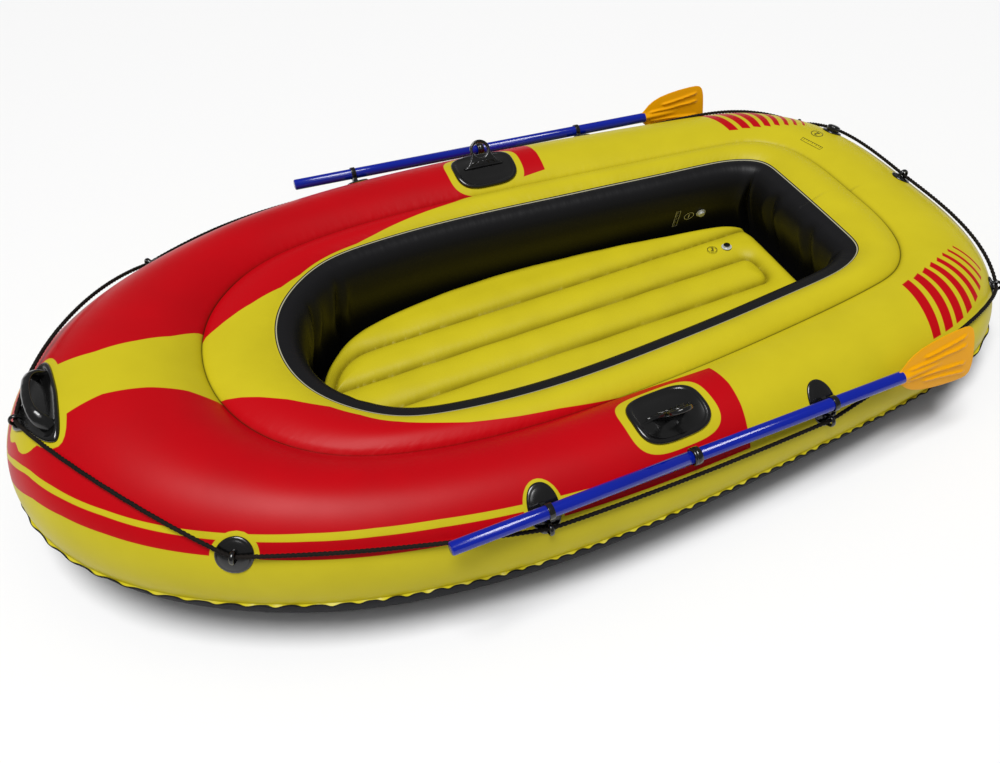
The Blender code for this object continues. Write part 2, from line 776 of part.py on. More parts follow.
def make_oar_holder(side_name, side, end):
    """Oval pad with a clip for the shaft and an eye for the rope below it."""
    where = side * HOLDER_PLACES[end]
    angle = HOLDER_ANGLES[side][end]
    name = f'oar_holder_{side_name}_{end}'
    pad = make_pad(name, where, angle, HOLDER_HALF_LENGTH, HOLDER_HALF_GIRTH)
    out = hull_matrix(where, angle).col[2].to_3d()
    along = shaft_direction(side)
    out = (out - along * out.dot(along)).normalized()
    down = out.cross(along)
    axes = Matrix((down, out, along)).transposed().to_4x4()
    place = Matrix.Translation(clip_point(side, end)) @ axes
    join(pad, add_tool(f'{name}_clip', outline_mesh([clip_outline()], CLIP_WIDTH), place))
    add_eye(pad, *shifted(where, angle, 0.0, HOLDER_ROPE_DROP))


def oar_matrix(side):
    """Frame of an oar: Z from the grip end to the blade, X across the blade."""
    along = shaft_direction(side)
    start = clip_point(side, 'fore') - along * GRIP_ENDS_TO_CLIPS[side]
    across = Vector((0.0, 1.0, 0.0))
    across = (across - along * across.dot(along)).normalized()
    face = along.cross(across)
    axes = Matrix((across, face, along)).transposed().to_4x4()
    return Matrix.Translation(start) @ axes


def make_grip_half(name, root):
    """Front half of the shaft, an open tube."""
    bore = SHAFT_RADIUS - SHAFT_WALL
    profile = ((SHAFT_RADIUS, GRIP_HALF_LENGTH - GAP), (SHAFT_RADIUS, 0.0), (bore, 0.0),
               (bore, GRIP_HALF_LENGTH - GAP))
    turn(add_object(name, profile_mesh(profile), BLUE_TUBE, parent=root))


def make_blade_half(name, root):
    """Rear half of the shaft, with the spigot that plugs into the front half."""
    joint = GRIP_HALF_LENGTH
    end = GRIP_HALF_LENGTH + BLADE_HALF_LENGTH + NECK_SEAT - GAP
    spigot = SHAFT_RADIUS - SHAFT_WALL - GAP
    bore = spigot - SPIGOT_WALL
    profile = ((SHAFT_RADIUS, end), (SHAFT_RADIUS, joint), (spigot, joint),
               (spigot, joint - SPIGOT_LENGTH), (bore, joint - SPIGOT_LENGTH), (bore, end))
    turn(add_object(name, profile_mesh(profile), BLUE_TUBE, parent=root))


def make_collar(name, root):
    """Ring on the shaft beside the joint of its halves."""
    start = GRIP_HALF_LENGTH + GAP
    inner = SHAFT_RADIUS + GAP
    edge = (COLLAR_RADIUS - inner) / 3.0
    profile = ((COLLAR_RADIUS, start + COLLAR_LENGTH - edge), (COLLAR_RADIUS, start + edge),
               (COLLAR_RADIUS - edge, start), (inner, start), (inner, start + COLLAR_LENGTH),
               (COLLAR_RADIUS - edge, start + COLLAR_LENGTH))
    turn(add_object(name, profile_mesh(profile), BLACK_PLASTIC, parent=root))


def make_blade(name, root, side):
    """Flat blade with a neck that takes the shaft and a spine that runs out to its end."""
    start = GRIP_HALF_LENGTH + BLADE_HALF_LENGTH
    neck = SHAFT_RADIUS + GAP + NECK_WALL
    tip = start + BLADE_LENGTH
    profile = ((0.0, start + BLADE_LENGTH * SPINE_SHARE),
               (SPINE_TIP_RADIUS, start + BLADE_LENGTH * SPINE_SHARE),
               (neck, start + NECK_LENGTH), (neck, start), (SHAFT_RADIUS + GAP, start),
               (SHAFT_RADIUS + GAP, start + NECK_SEAT), (0.0, start + NECK_SEAT))
    tilt = Matrix.Rotation(BLADE_TILTS[side], 4, 'Z')
    blade = add_object(name, profile_mesh(profile), ORANGE_PLASTIC, tilt, root)
    turn(blade)
    plate_start = start + NECK_SEAT + BLADE_THICKNESS
    upper = [(share * BLADE_WIDTH / 2.0, plate_start + (tip - plate_start) * way)
             for way, share in BLADE_SHARES]
    lower = [(-x, y) for x, y in reversed(upper)]
    flat = outline_mesh([upper + lower], BLADE_THICKNESS)
    upright = Matrix.Rotation(math.pi / 2.0, 4, 'X')
    tool = add_tool(f'{name}_plate', flat, root.matrix_world @ tilt @ upright)
    join(blade, tool)


def make_oars():
    """Two oars, each of two plugged halves, a collar and a blade."""
    for side_name, side in SIDES.items():
        root = bpy.data.objects.new(f'oar_{side_name}_axis', None)
        parts.objects.link(root)
        root.matrix_world = oar_matrix(side)
        bpy.context.view_layer.update()
        make_grip_half(f'oar_{side_name}_grip_half', root)
        make_blade_half(f'oar_{side_name}_blade_half', root)
        make_collar(f'oar_{side_name}_collar', root)
        make_blade(f'oar_{side_name}_blade', root, side)
        for end in HOLDER_PLACES:
            make_oar_holder(side_name, side, end)


# Oarlocks and bow handle

def oarlock_outline():
    """Ring on a web that flares to its base, with the ring's hole."""
    outer = RING_HOLE_RADIUS + RING_BAND
    steps = 10
    lean = math.radians(20.0)
    top = []
    for i in range(steps + 1):
        turn = -lean + (math.pi + 2.0 * lean) * i / steps
        top.append((outer * math.cos(turn), RING_HEIGHT + outer * math.sin(turn)))
    flare = RING_HEIGHT - outer * 0.9
    right = [(RING_BASE_HALF, RING_FOOT), (RING_BASE_HALF * FLARE_SHARE, flare)]
    left = [(-x, y) for x, y in reversed(right)]
    turns = [2.0 * math.pi * i / ROUND_STEPS for i in range(ROUND_STEPS)]
    hole = [(RING_HOLE_RADIUS * math.cos(turn), RING_HEIGHT + RING_HOLE_RADIUS * math.sin(turn))
            for turn in turns]
    return [right + top + left, hole]


def make_oarlocks():
    """Rubber oarlocks: rounded pads, each with a ring that leans outboard."""
    for side_name, side in SIDES.items():
        where = side * OARLOCK_PLACE
        angle = OARLOCK_ANGLES[side]
        name = f'oarlock_{side_name}'
        pad = make_pad(name, where, angle, OARLOCK_HALF_LENGTH, OARLOCK_HALF_GIRTH, 4.0)
        tilt = math.pi / 2.0 - RING_LEANS[side]
        upright = hull_matrix(where, angle) @ Matrix.Rotation(tilt, 4, 'X')
        plate = outline_mesh(oarlock_outline(), RING_THICKNESS)
        join(pad, add_tool(f'{name}_ring', plate, upright))


def make_bow_handle():
    """Almond pad with a raised grip bar and, on a lobe below it, an eye for the rope."""
    pad = make_pad('bow_handle', 0.0, HANDLE_ANGLE, HANDLE_HALF_LENGTH, HANDLE_HALF_GIRTH, 1.7,
                   lobe=HANDLE_LOBE)
    bar = [(GRIP_HALF * way, GRIP_OFFSET, OVERRUN + GRIP_RISE * rise) for way, rise in GRIP_SHARES]
    grip = curve_mesh(draped(0.0, HANDLE_ANGLE, bar), GRIP_RADIUS)
    join(pad, add_tool('bow_handle_grip', grip, Matrix.Identity(4)))
    add_eye(pad, *shifted(0.0, HANDLE_ANGLE, 0.0, HANDLE_EYE_DROP))


# Rope

def rope_stops():
    """Places that the rope runs through, from the stern along port, bow and starboard."""
    stops = []
    for side in (-1, 1):
        line = [(side * 1.0, STERN_CENTRE_ANGLE), (side * STERN_PAD_PLACE, STERN_PAD_ANGLE)]
        for end in ('aft', 'fore'):
            line.append(shifted(side * HOLDER_PLACES[end], HOLDER_ANGLES[side][end], 0.0,
                                HOLDER_ROPE_DROP))
        line.append((side * ROPE_PAD_PLACE, ROPE_PAD_ANGLE))
        if side < 0:
            stops += line + [shifted(0.0, HANDLE_ANGLE, 0.0, HANDLE_EYE_DROP)]
        else:
            stops += line[::-1]
    return stops


def rope_points(places):
    """Middle of the rope at places on the hull, each a position and an angle."""
    offset = np.full(len(places), rope_offset())
    return tube_points(sections(places[:, 0]), places[:, 1], offset)


def taut(start, end):
    """Places along a rope drawn tight over the hull, from one place up to the next."""
    start, end = np.array(start), np.array(end)
    gap = rope_points(np.array([start, end]))
    count = max(2, round(np.linalg.norm(gap[1] - gap[0]) / ROPE_STEP))
    places = start + (end - start) * np.linspace(0.0, 1.0, count + 1)[:, None]
    step = 1.0 / STATIONS ** 2
    for _ in range(ROPE_PASSES):
        points = rope_points(places)
        along = (rope_points(places + (step, 0.0)) - points)[1:-1] / step
        turned = (rope_points(places + (0.0, step)) - points)[1:-1] / step
        pull = (points[:-2] + points[2:]) / 2.0 - points[1:-1]
        rates = np.stack([along, turned], axis=1)
        system = rates @ rates.transpose(0, 2, 1)
        places[1:-1] += np.linalg.solve(system, rates @ pull[:, :, None])[:, :, 0]
    return places[:-1]


def make_grab_rope():
    """Grab rope in one closed loop through all its eyes, taut on the hull."""
    stops = rope_stops()
    spans = [taut(start, end) for start, end in zip(stops[:-1], stops[1:])]
    points = rope_points(np.concatenate(spans))
    add_object('grab_rope', curve_mesh(points, ROPE_RADIUS, cyclic=True), ROPE_BLACK)


# Valves

def make_screw_valve():
    """Screw valve of the outer chamber: flange and neck, with a domed cap over the neck."""
    where, angle = SCREW_VALVE_PLACE, SCREW_VALVE_ANGLE
    flange = make_pad('valve_2_body', where, angle, SCREW_FLANGE_RADIUS, SCREW_FLANGE_RADIUS,
                      lift=STERN_PAD_LIFT)
    home = hull_matrix(where, angle)
    neck = add_tool('valve_2_neck', profile_mesh((
        (0.0, SCREW_NECK_HEIGHT), (SCREW_NECK_RADIUS, SCREW_NECK_HEIGHT),
        (SCREW_NECK_RADIUS, OVERRUN), (0.0, OVERRUN))), home)
    turn(neck)
    join(flange, neck)
    inner = SCREW_NECK_RADIUS + GAP
    outer = inner + SCREW_CAP_WALL
    base = STERN_PAD_LIFT + PAD + GAP
    roof = SCREW_NECK_HEIGHT + GAP
    top = roof + SCREW_CAP_TOP
    edge = SCREW_CAP_WALL / 2.0
    profile = ((0.0, top), (outer - 2.0 * edge, top), (outer, top - 2.0 * edge), (outer, base),
               (inner, base), (inner, roof), (0.0, roof))
    turn(add_object('valve_2_cap', profile_mesh(profile), BLACK_PLASTIC, home))


def make_plug_valve(number, matrix, body_finish, plug_finish):
    """Small air valve: flanged boss with a blind bore, and its plug."""
    top = VALVE_BOSS_HEIGHT
    bore_floor = VALVE_FLANGE
    body = ((0.0, bore_floor), (VALVE_BORE_RADIUS, bore_floor), (VALVE_BORE_RADIUS, top),
            (VALVE_BOSS_RADIUS, top), (VALVE_BOSS_RADIUS, VALVE_FLANGE),
            (VALVE_FLANGE_RADIUS, VALVE_FLANGE), (VALVE_FLANGE_RADIUS, 0.0), (0.0, 0.0))
    turn(add_object(f'valve_{number}_body', profile_mesh(body), body_finish, matrix))
    stem = VALVE_BORE_RADIUS - GAP
    base = top + GAP
    plug = ((0.0, base + PLUG_HEAD), (PLUG_HEAD_RADIUS, base + PLUG_HEAD),
            (PLUG_HEAD_RADIUS, base), (stem, base), (stem, bore_floor + GAP),
            (0.0, bore_floor + GAP))
    turn(add_object(f'valve_{number}_plug', profile_mesh(plug), plug_finish, matrix))


def wall_valve_matrix():
    """Frame on the starboard cockpit wall, Z into the cockpit."""
    step = 1.0 / STATIONS / STATIONS

    def point(where, share):
        return Vector(inner_wall(sections(where), share)[0])

    along = point(WALL_VALVE_PLACE + step, WALL_VALVE_SHARE) - point(
        WALL_VALVE_PLACE - step, WALL_VALVE_SHARE)
    down = point(WALL_VALVE_PLACE, WALL_VALVE_SHARE + step) - point(
        WALL_VALVE_PLACE, WALL_VALVE_SHARE - step)
    z_axis = down.cross(along).normalized()
    x_axis = along.normalized()
    y_axis = z_axis.cross(x_axis)
    axes = Matrix((x_axis, y_axis, z_axis)).transposed().to_4x4()
    place = point(WALL_VALVE_PLACE, WALL_VALVE_SHARE) + z_axis * GAP
    return Matrix.Translation(place) @ axes


def make_valves(outline):
    """Three valves: outer chamber, inner chamber and floor."""
    make_screw_valve()
    make_plug_valve(1, wall_valve_matrix(), CLEAR_PLASTIC, CLEAR_PLASTIC)
    x = outline[-1, 0] - FLOOR_VALVE_INSET
    y = sum(mattress_seams(mattress_half_width(x, outline))) / 2.0
    z = mattress_top(x, y, outline)[0] + GAP
    make_plug_valve(3, Matrix.Translation((x, y, z)), CLEAR_PLASTIC, BLACK_PLASTIC)


def main():
    """Clear the scene and build the boat."""
    for old in list(bpy.data.objects):
        bpy.data.objects.remove(old)
    bpy.context.scene.collection.children.link(parts)
    bpy.context.scene.collection.children.link(tools)
    make_outer_chamber()
    make_inner_chamber()
    make_bottom_sheet()
    make_perimeter_flange()
    outline = make_floor_mattress()
    make_rope_holders()
    make_oars()
    make_oarlocks()
    make_bow_handle()
    make_grab_rope()
    make_valves(outline)


main()
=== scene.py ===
"""Looks of the inflatable boat: printed vinyl chambers, mattress floor, fittings, rope and oars.

Metres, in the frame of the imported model: bow to -X, stern to +X, port -Y, starboard +Y, +Z up.
A place on the hull is a position round it (0 at the bow, 1 at the stern, negative to port) and
an angle round the outer tube (0 at its side, 90 degrees on top).
"""
import logging
import math
from collections.abc import Iterator
from contextlib import contextmanager
from dataclasses import dataclass
from enum import Enum
from functools import cached_property

import bmesh
import bpy
import numpy as np
from mathutils import Matrix, Vector, noise


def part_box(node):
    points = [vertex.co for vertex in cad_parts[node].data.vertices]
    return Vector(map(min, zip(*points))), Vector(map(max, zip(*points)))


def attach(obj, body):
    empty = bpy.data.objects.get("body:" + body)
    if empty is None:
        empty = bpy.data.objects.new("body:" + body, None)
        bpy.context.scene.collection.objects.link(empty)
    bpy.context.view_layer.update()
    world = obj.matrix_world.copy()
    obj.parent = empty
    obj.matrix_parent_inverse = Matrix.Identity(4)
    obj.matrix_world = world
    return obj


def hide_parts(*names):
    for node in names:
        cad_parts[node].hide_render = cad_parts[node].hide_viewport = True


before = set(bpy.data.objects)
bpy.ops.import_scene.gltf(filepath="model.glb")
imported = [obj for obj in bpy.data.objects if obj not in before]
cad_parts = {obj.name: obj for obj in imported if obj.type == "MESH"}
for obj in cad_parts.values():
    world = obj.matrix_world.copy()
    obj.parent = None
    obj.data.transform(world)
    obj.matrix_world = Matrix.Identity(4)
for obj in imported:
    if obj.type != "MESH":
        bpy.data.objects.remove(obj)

LOG = logging.getLogger("boat")
UP = Vector((0.0, 0.0, 1.0))
SHARP_ANGLE = math.radians(50.0)
ROPE_HEIGHT = 0.0098
SHAFT_RADIUS = 0.0125
EYE_WIRE = 0.0027
EYE_WIDENING = 1.6
PLATE_MERGE = 0.00002
LEAST_RADIUS = 1e-5

Array = np.ndarray
Mesh = bpy.types.Mesh
Node = bpy.types.Node
Socket = bpy.types.NodeSocket
Points = list[tuple[float, float]]
Colour = tuple[float, float, float]


class Side(Enum):
    """Sides of the boat, with the sign of their positions and of Y."""

    PORT = -1
    STARBOARD = 1

    @property
    def word(self) -> str:
        """The side's name as the nodes write it."""
        return self.name.lower()

    def of(self, pair: tuple) -> object:
        """The side's own value out of a pair, port first."""
        return pair[self is Side.STARBOARD]


class Weight(Enum):
    """How strongly a bump shows."""

    PLAIN = 0.5
    STRONG = 1.0


class Lamp(Enum):
    """Kinds of light, with the setting that makes them soft."""

    SUN = "angle"
    AREA = "size"


# Sums that several shapes share


def table(at: Array, rows: tuple) -> Array:
    """Values read from rows of (place, value), straight between them."""
    return np.interp(at, *np.array(rows).T)


def bell(away: Array, width: Array | float) -> Array:
    """Smooth bump of height 1 that fades with the distance."""
    return np.exp(-(away / width) ** 2)


def quarter(run: Array) -> Array:
    """Rise of a quarter circle while its run goes from 0 to 1."""
    return np.sqrt(np.clip(1.0 - (1.0 - run) ** 2, 0.0, None))


def circle(steps: int) -> Array:
    """Even angles round a circle."""
    return np.arange(steps) * 2.0 * math.pi / steps


def arc(radius: float, turns: Array, height: float = 0.0) -> Points:
    """Points of a flat arc round (0, height)."""
    return [(radius * math.cos(t), height + radius * math.sin(t)) for t in turns]


def unit(rows: Array) -> Array:
    """Rows scaled to a length of 1."""
    return rows / np.linalg.norm(rows, axis=1)[:, None]


def reach_along(path: Array) -> Array:
    """Distance of each point of a path from its start."""
    return np.concatenate([[0.0], np.cumsum(np.linalg.norm(np.diff(path, axis=0), axis=1))])


def axes_at(x_axis: Vector, y_axis: Vector, z_axis: Vector, place: Vector) -> Matrix:
    """Matrix of three axes at a place."""
    return Matrix.Translation(place) @ Matrix((x_axis, y_axis, z_axis)).transposed().to_4x4()


# Hull shape


@dataclass
class Cut:
    """Cross sections of the hull at places round it."""

    seam: Array
    edge: Array
    out: Array
    edge_out: Array
    seam_z: Array
    edge_z: Array
    half_width: Array
    half_height: Array
    lean: Array

    @property
    def radius(self) -> Array:
        """Mean radius of the outer tube."""
        return (self.half_width + self.half_height) / 2.0


@dataclass(frozen=True)
class HullShape:
    """Outer tube, inner tube and cockpit wall as smooth surfaces.

    A plan is an outline's first x, its length and its full width. Widths and leans belong to the
    side, the bow and the stern.
    """

    seam_plan: tuple = (-0.682, 1.500, 0.722)
    edge_plan: tuple = (-0.535, 1.246, 0.574)
    seam_shares: tuple = (
        (0.0, 0.0), (0.024, 0.43), (0.061, 0.645), (0.12, 0.825), (0.201, 0.935),
        (0.317, 0.995), (0.445, 1.0), (0.573, 0.97), (0.70, 0.92), (0.817, 0.865),
        (0.891, 0.82), (0.943, 0.755), (0.978, 0.61), (0.994, 0.43), (1.0, 0.0))
    edge_shares: tuple = (
        (0.0, 0.0), (0.025, 0.445), (0.064, 0.667), (0.125, 0.862), (0.206, 0.957),
        (0.324, 1.0), (0.452, 0.993), (0.581, 0.953), (0.708, 0.906), (0.826, 0.854),
        (0.902, 0.818), (0.952, 0.763), (0.991, 0.639), (0.999, 0.453), (1.0, 0.0))
    seam_height: float = 0.210
    bow_rise: float = 0.065
    rise_start_x: float = 0.60
    edge_lift: float = 0.004
    floor_z: float = 0.0015
    widths: tuple = (0.126, 0.217, 0.148)
    leans: tuple = (math.radians(49.0), math.radians(35.0), math.radians(66.0))
    bow_fade: float = 6.5
    top_crown: float = 0.018
    crown_power: float = 0.8
    wall_bulge: float = 0.048
    bulge_share: float = 0.28
    bulge_powers: tuple = (2.5, 0.4)
    bulge_fall: float = 0.55
    fall_run: float = 0.6
    weld_angle: float = math.radians(-8.5)
    step: float = 0.0002
    normal_step: float = 0.0005

    @cached_property
    def rings(self) -> list[Array]:
        """Outlines of seam and cockpit edge, from the bow by starboard and back by port.

        Returns:
            The seam's outline and the edge's.
        """
        rings = []
        for (start, length, beam), shares in ((self.seam_plan, self.seam_shares),
                                              (self.edge_plan, self.edge_shares)):
            half = np.array(shares) * (length, beam / 2.0) + (start, 0.0)
            rings.append(np.concatenate([half, half[-2:0:-1] * (1.0, -1.0)]))
        return rings

    @cached_property
    def knots(self) -> Array:
        """Distances along the seam outline's points."""
        return reach_along(np.vstack([self.rings[0], self.rings[0][:1]]))

    @property
    def half_round(self) -> float:
        """Distance along the seam from the bow to the stern."""
        return self.knots[-1] / 2.0

    def spline(self, values: Array, places: Array) -> Array:
        """Smooth closed curve through an outline's points.

        Args:
            values: The outline's points.
            places: Distances along the seam's knots.

        Returns:
            Points of the curve.
        """
        knots = self.knots
        count, span = len(values), np.diff(knots)
        system, pull = np.zeros((count, count)), np.zeros_like(values)
        for i in range(count):
            before, after, following = span[i - 1], span[i], (i + 1) % count
            system[i, i - 1] += before
            system[i, i] += 2.0 * (before + after)
            system[i, following] += after
            rise = (values[following] - values[i]) / after
            pull[i] = 6.0 * (rise - (values[i] - values[i - 1]) / before)
        bend = np.linalg.solve(system, pull)
        places = np.mod(places, knots[-1])
        i = np.clip(np.searchsorted(knots, places, side="right") - 1, 0, count - 1)
        j = (i + 1) % count
        width, into = span[i][:, None], (places - knots[i])[:, None]
        left = width - into
        curve = (bend[i] * left ** 3 + bend[j] * into ** 3) / (6.0 * width)
        curve += (values[i] / width - bend[i] * width / 6.0) * left
        return curve + (values[j] / width - bend[j] * width / 6.0) * into

    def normals(self, values: Array, places: Array) -> Array:
        """Unit normals of an outline, away from the cockpit.

        Args:
            values: The outline's points.
            places: Distances along the seam's knots.

        Returns:
            Flat unit vectors.
        """
        step = self.normal_step
        run = unit(self.spline(values, places + step) - self.spline(values, places - step))
        return np.stack([-run[:, 1], run[:, 0]], axis=1)

    def sheer(self, x: Array) -> Array:
        """Height of the seam, rising to the bow."""
        reach = np.clip(self.rise_start_x - x, 0.0, None) / (self.rise_start_x - self.seam_plan[0])
        return self.seam_height + self.bow_rise * reach ** 2

    def cut(self, where: Array | float) -> Cut:
        """Cross sections at positions round the hull.

        Args:
            where: Positions from -1 over 0 at the bow to 1.

        Returns:
            The sections.
        """
        where = np.atleast_1d(np.asarray(where, dtype=float))
        places = (where / 2.0 % 1.0) * self.knots[-1]
        ring, rim = self.rings
        seam, edge = self.spline(ring, places), self.spline(rim, places)
        ends = np.cos(math.pi * where) ** 2
        forward = np.abs((where + 1.0) % 2.0 - 1.0) < 0.5
        bow = np.where(forward, ends ** self.bow_fade, 0.0)
        stern = np.where(forward, 0.0, ends)
        width, lean = ((1.0 - bow - stern) * beside + bow * ahead + stern * behind
                       for beside, ahead, behind in (self.widths, self.leans))
        seam_z = self.sheer(seam[:, 0])
        height = (seam_z - self.floor_z) / (1.0 + np.sin(lean))
        return Cut(seam, edge, self.normals(ring, places), self.normals(rim, places), seam_z,
                   self.sheer(edge[:, 0]) + self.edge_lift, width, height, lean)

    def tube(self, cut: Cut, angle: Array | float, offset: Array | float = 0.0) -> Array:
        """Points of the outer tube, one for each section.

        Args:
            cut: The sections.
            angle: Angle round the tube for each section.
            offset: How far the points stand off the surface.

        Returns:
            Points.
        """
        reach = cut.half_width * np.cos(cut.lean) + (cut.half_width + offset) * np.cos(angle)
        z = self.floor_z + cut.half_height + (cut.half_height + offset) * np.sin(angle)
        return np.column_stack([cut.seam + cut.out * reach[:, None], z])

    def deck(self, cut: Cut, share: float) -> Array:
        """Points of the inner tube's top, from the seam (0) to the cockpit edge (1).

        Args:
            cut: The sections.
            share: How far across.

        Returns:
            Points.
        """
        crown = self.top_crown * math.sin(math.pi * share) ** self.crown_power
        z = cut.seam_z + (cut.edge_z - cut.seam_z) * share + crown
        return np.column_stack([cut.seam + (cut.edge - cut.seam) * share, z])

    def wall(self, cut: Cut, share: float, extra: Array | float = 0.0) -> Array:
        """Points of the cockpit wall.

        Args:
            cut: The sections.
            share: Way from the edge (0) down to the foot (1).
            extra: How far the wall is drawn in further.

        Returns:
            Points.
        """
        height = cut.edge_z - (cut.edge_z - self.floor_z) * share
        top = min(1.0, share / self.bulge_share)
        fall = max(0.0, share - self.bulge_share) / self.fall_run
        fall = 1.0 - self.bulge_fall * min(1.0, fall * fall * (3.0 - 2.0 * min(1.0, fall)))
        inner, outer = self.bulge_powers
        inset = self.wall_bulge * (1.0 - (1.0 - top) ** inner) ** outer * fall + extra
        return np.column_stack([cut.edge - cut.edge_out * np.reshape(inset, (-1, 1)), height])

    def point(self, where: float, angle: float, offset: float = 0.0) -> Vector:
        """One point on the outer tube."""
        return Vector(self.tube(self.cut(where), angle, offset)[0])

    def rates(self, where: float, angle: float) -> tuple[Vector, Vector]:
        """Metres per unit of position and per radian at a place.

        Args:
            where: Position round the hull.
            angle: Angle round the tube.

        Returns:
            Vectors along the hull and round the tube.
        """
        step = self.step
        along = self.point(where + step, angle) - self.point(where - step, angle)
        round_ = self.point(where, angle + step) - self.point(where, angle - step)
        return along / (2.0 * step), round_ / (2.0 * step)

    def frame_at(self, where: float, angle: float, offset: float = 0.0) -> Matrix:
        """Axes on the outer tube: X along the hull, Y down its outside, Z straight out.

        Args:
            where: Position round the hull.
            angle: Angle round the tube.
            offset: How far the origin stands off the surface.

        Returns:
            The matrix.
        """
        along, round_ = self.rates(where, angle)
        x_axis, z_axis = along.normalized(), round_.cross(along).normalized()
        place = self.point(where, angle) + z_axis * offset
        return axes_at(x_axis, z_axis.cross(x_axis), z_axis, place)

    def shifted(self, where: float, angle: float, along: float, down: float
                ) -> tuple[float, float]:
        """A place some way along and down from another."""
        rate_along, rate_round = self.rates(where, angle)
        return where + along / rate_along.length, angle - down / rate_round.length

    def drape(self, where: float, angle: float, points: Array) -> Array:
        """Lay points (along, down, out) on the outer tube round a place.

        Args:
            where: Position round the hull.
            angle: Angle round the tube.
            points: Flat points.

        Returns:
            The points on the tube.
        """
        rate_along, rate_round = self.rates(where, angle)
        flat = points.reshape(-1, 3)
        cut = self.cut(where + flat[:, 0] / rate_along.length)
        turned = angle - flat[:, 1] / rate_round.length
        return self.tube(cut, turned, flat[:, 2]).reshape(points.shape)


HULL = HullShape()


# Meshes


@contextmanager
def editing(mesh: Mesh) -> Iterator[bmesh.types.BMesh]:
    """A mesh open for changes, written back at the end.

    Args:
        mesh: The mesh.

    Yields:
        Its editable copy.
    """
    work = bmesh.new()
    work.from_mesh(mesh)
    yield work
    work.to_mesh(mesh)
    work.free()


def added(name: str, data: bpy.types.ID) -> bpy.types.Object:
    """A new object in the scene.

    Args:
        name: Its name.
        data: Its mesh, lamp, camera or curve.

    Returns:
        The object.
    """
    made = bpy.data.objects.new(name, data)
    bpy.context.scene.collection.objects.link(made)
    return made


def grid_mesh(grid: Array, ring: bool = False, loop: bool = False,
              values: dict[str, Array] | None = None) -> Mesh:
    """Smooth mesh through a grid of points.

    Args:
        grid: Points, rows by columns by 3.
        ring: Join the last column to the first.
        loop: Join the last row to the first.
        values: Numbers to keep on the points, by name, rows by columns.

    Returns:
        The mesh.
    """
    rows, columns = grid.shape[:2]
    index = np.arange(rows * columns).reshape(rows, columns)
    if loop:
        index = np.vstack([index, index[:1]])
    if ring:
        index = np.hstack([index, index[:, :1]])
    faces = np.stack([index[:-1, :-1], index[:-1, 1:], index[1:, 1:], index[1:, :-1]], axis=-1)
    mesh = bpy.data.meshes.new("grid")
    mesh.from_pydata(grid.reshape(-1, 3).tolist(), [], faces.reshape(-1, 4).tolist())
    for key, numbers in (values or {}).items():
        kept = mesh.attributes.new(key, "FLOAT", "POINT")
        kept.data.foreach_set("value", np.asarray(numbers, dtype=np.float32).ravel())
    mesh.shade_smooth()
    return mesh


def edged(mesh: Mesh) -> Mesh:
    """The mesh, smooth but for its sharp edges.

    Args:
        mesh: The mesh.

    Returns:
        The same mesh.
    """
    mesh.shade_smooth()
    mesh.set_sharp_from_angle(angle=SHARP_ANGLE)
    return mesh


def capped(mesh: Mesh) -> Mesh:
    """The mesh with its open rims closed and its faces turned outwards.

    Args:
        mesh: The mesh.

    Returns:
        The same mesh.
    """
    with editing(mesh) as work:
        bmesh.ops.holes_fill(work, edges=[e for e in work.edges if e.is_boundary], sides=0)
        bmesh.ops.recalc_face_normals(work, faces=work.faces)
        if work.calc_volume(signed=True) < 0.0:
            bmesh.ops.reverse_faces(work, faces=work.faces)
    return edged(mesh)


def faced(mesh: Mesh, toward: Vector = UP) -> Mesh:
    """The open sheet, turned so that it faces a direction on the whole.

    Args:
        mesh: The sheet.
        toward: The direction.

    Returns:
        The same mesh.
    """
    total = sum((face.normal * face.area for face in mesh.polygons), Vector((0.0, 0.0, 0.0)))
    if total.dot(toward) < 0.0:
        mesh.flip_normals()
    return mesh


def moved(mesh: Mesh, change: Matrix) -> Mesh:
    """The mesh, moved by a matrix."""
    mesh.transform(change)
    return mesh


def tube_mesh(path: Array, radius: float, sides: int, closed: bool = False, lobes: float = 0.0,
              lay: float = 0.0) -> Mesh:
    """Round tube along a path, with a twisted three strand section where lobes are given.

    Args:
        path: Points of the path.
        radius: Outer radius.
        sides: Points round the tube.
        closed: Join the end to the start.
        lobes: Depth of the valleys between the strands, as a share of the radius.
        lay: Length of one full twist.

    Returns:
        The mesh.
    """
    if closed:
        run = unit(np.roll(path, -1, axis=0) - np.roll(path, 1, axis=0))
    else:
        run = unit(np.gradient(path, axis=0))
    side = np.cross(run[0], (0.0, 0.0, 1.0) if abs(run[0][2]) < 0.9 else (1.0, 0.0, 0.0))
    first = []
    for along in run:
        side = side - along * side.dot(along)
        side = side / np.linalg.norm(side)
        first.append(side)
    first = np.array(first)[:, None]
    second = np.cross(run, first[:, 0])[:, None]
    turns = circle(sides)
    twist = reach_along(path) * (2.0 * math.pi / lay) if lay else np.zeros(len(path))
    strand = np.abs(np.cos(1.5 * (turns[None] - twist[:, None])))
    wide = radius * (1.0 - lobes * (1.0 - strand))
    spokes = first * np.cos(turns)[None, :, None] + second * np.sin(turns)[None, :, None]
    return capped(grid_mesh(path[:, None] + wide[..., None] * spokes, ring=True, loop=closed))


def ring_row(turns: Array, radius: Array | float, height: float) -> Array:
    """Points round Z at a radius and a height.

    Args:
        turns: Angles of the points.
        radius: One radius, or one for each point.
        height: Height of all of them.

    Returns:
        Points.
    """
    wide = np.maximum(radius, LEAST_RADIUS)
    return np.column_stack([wide * np.cos(turns), wide * np.sin(turns),
                            np.full(len(turns), height)])


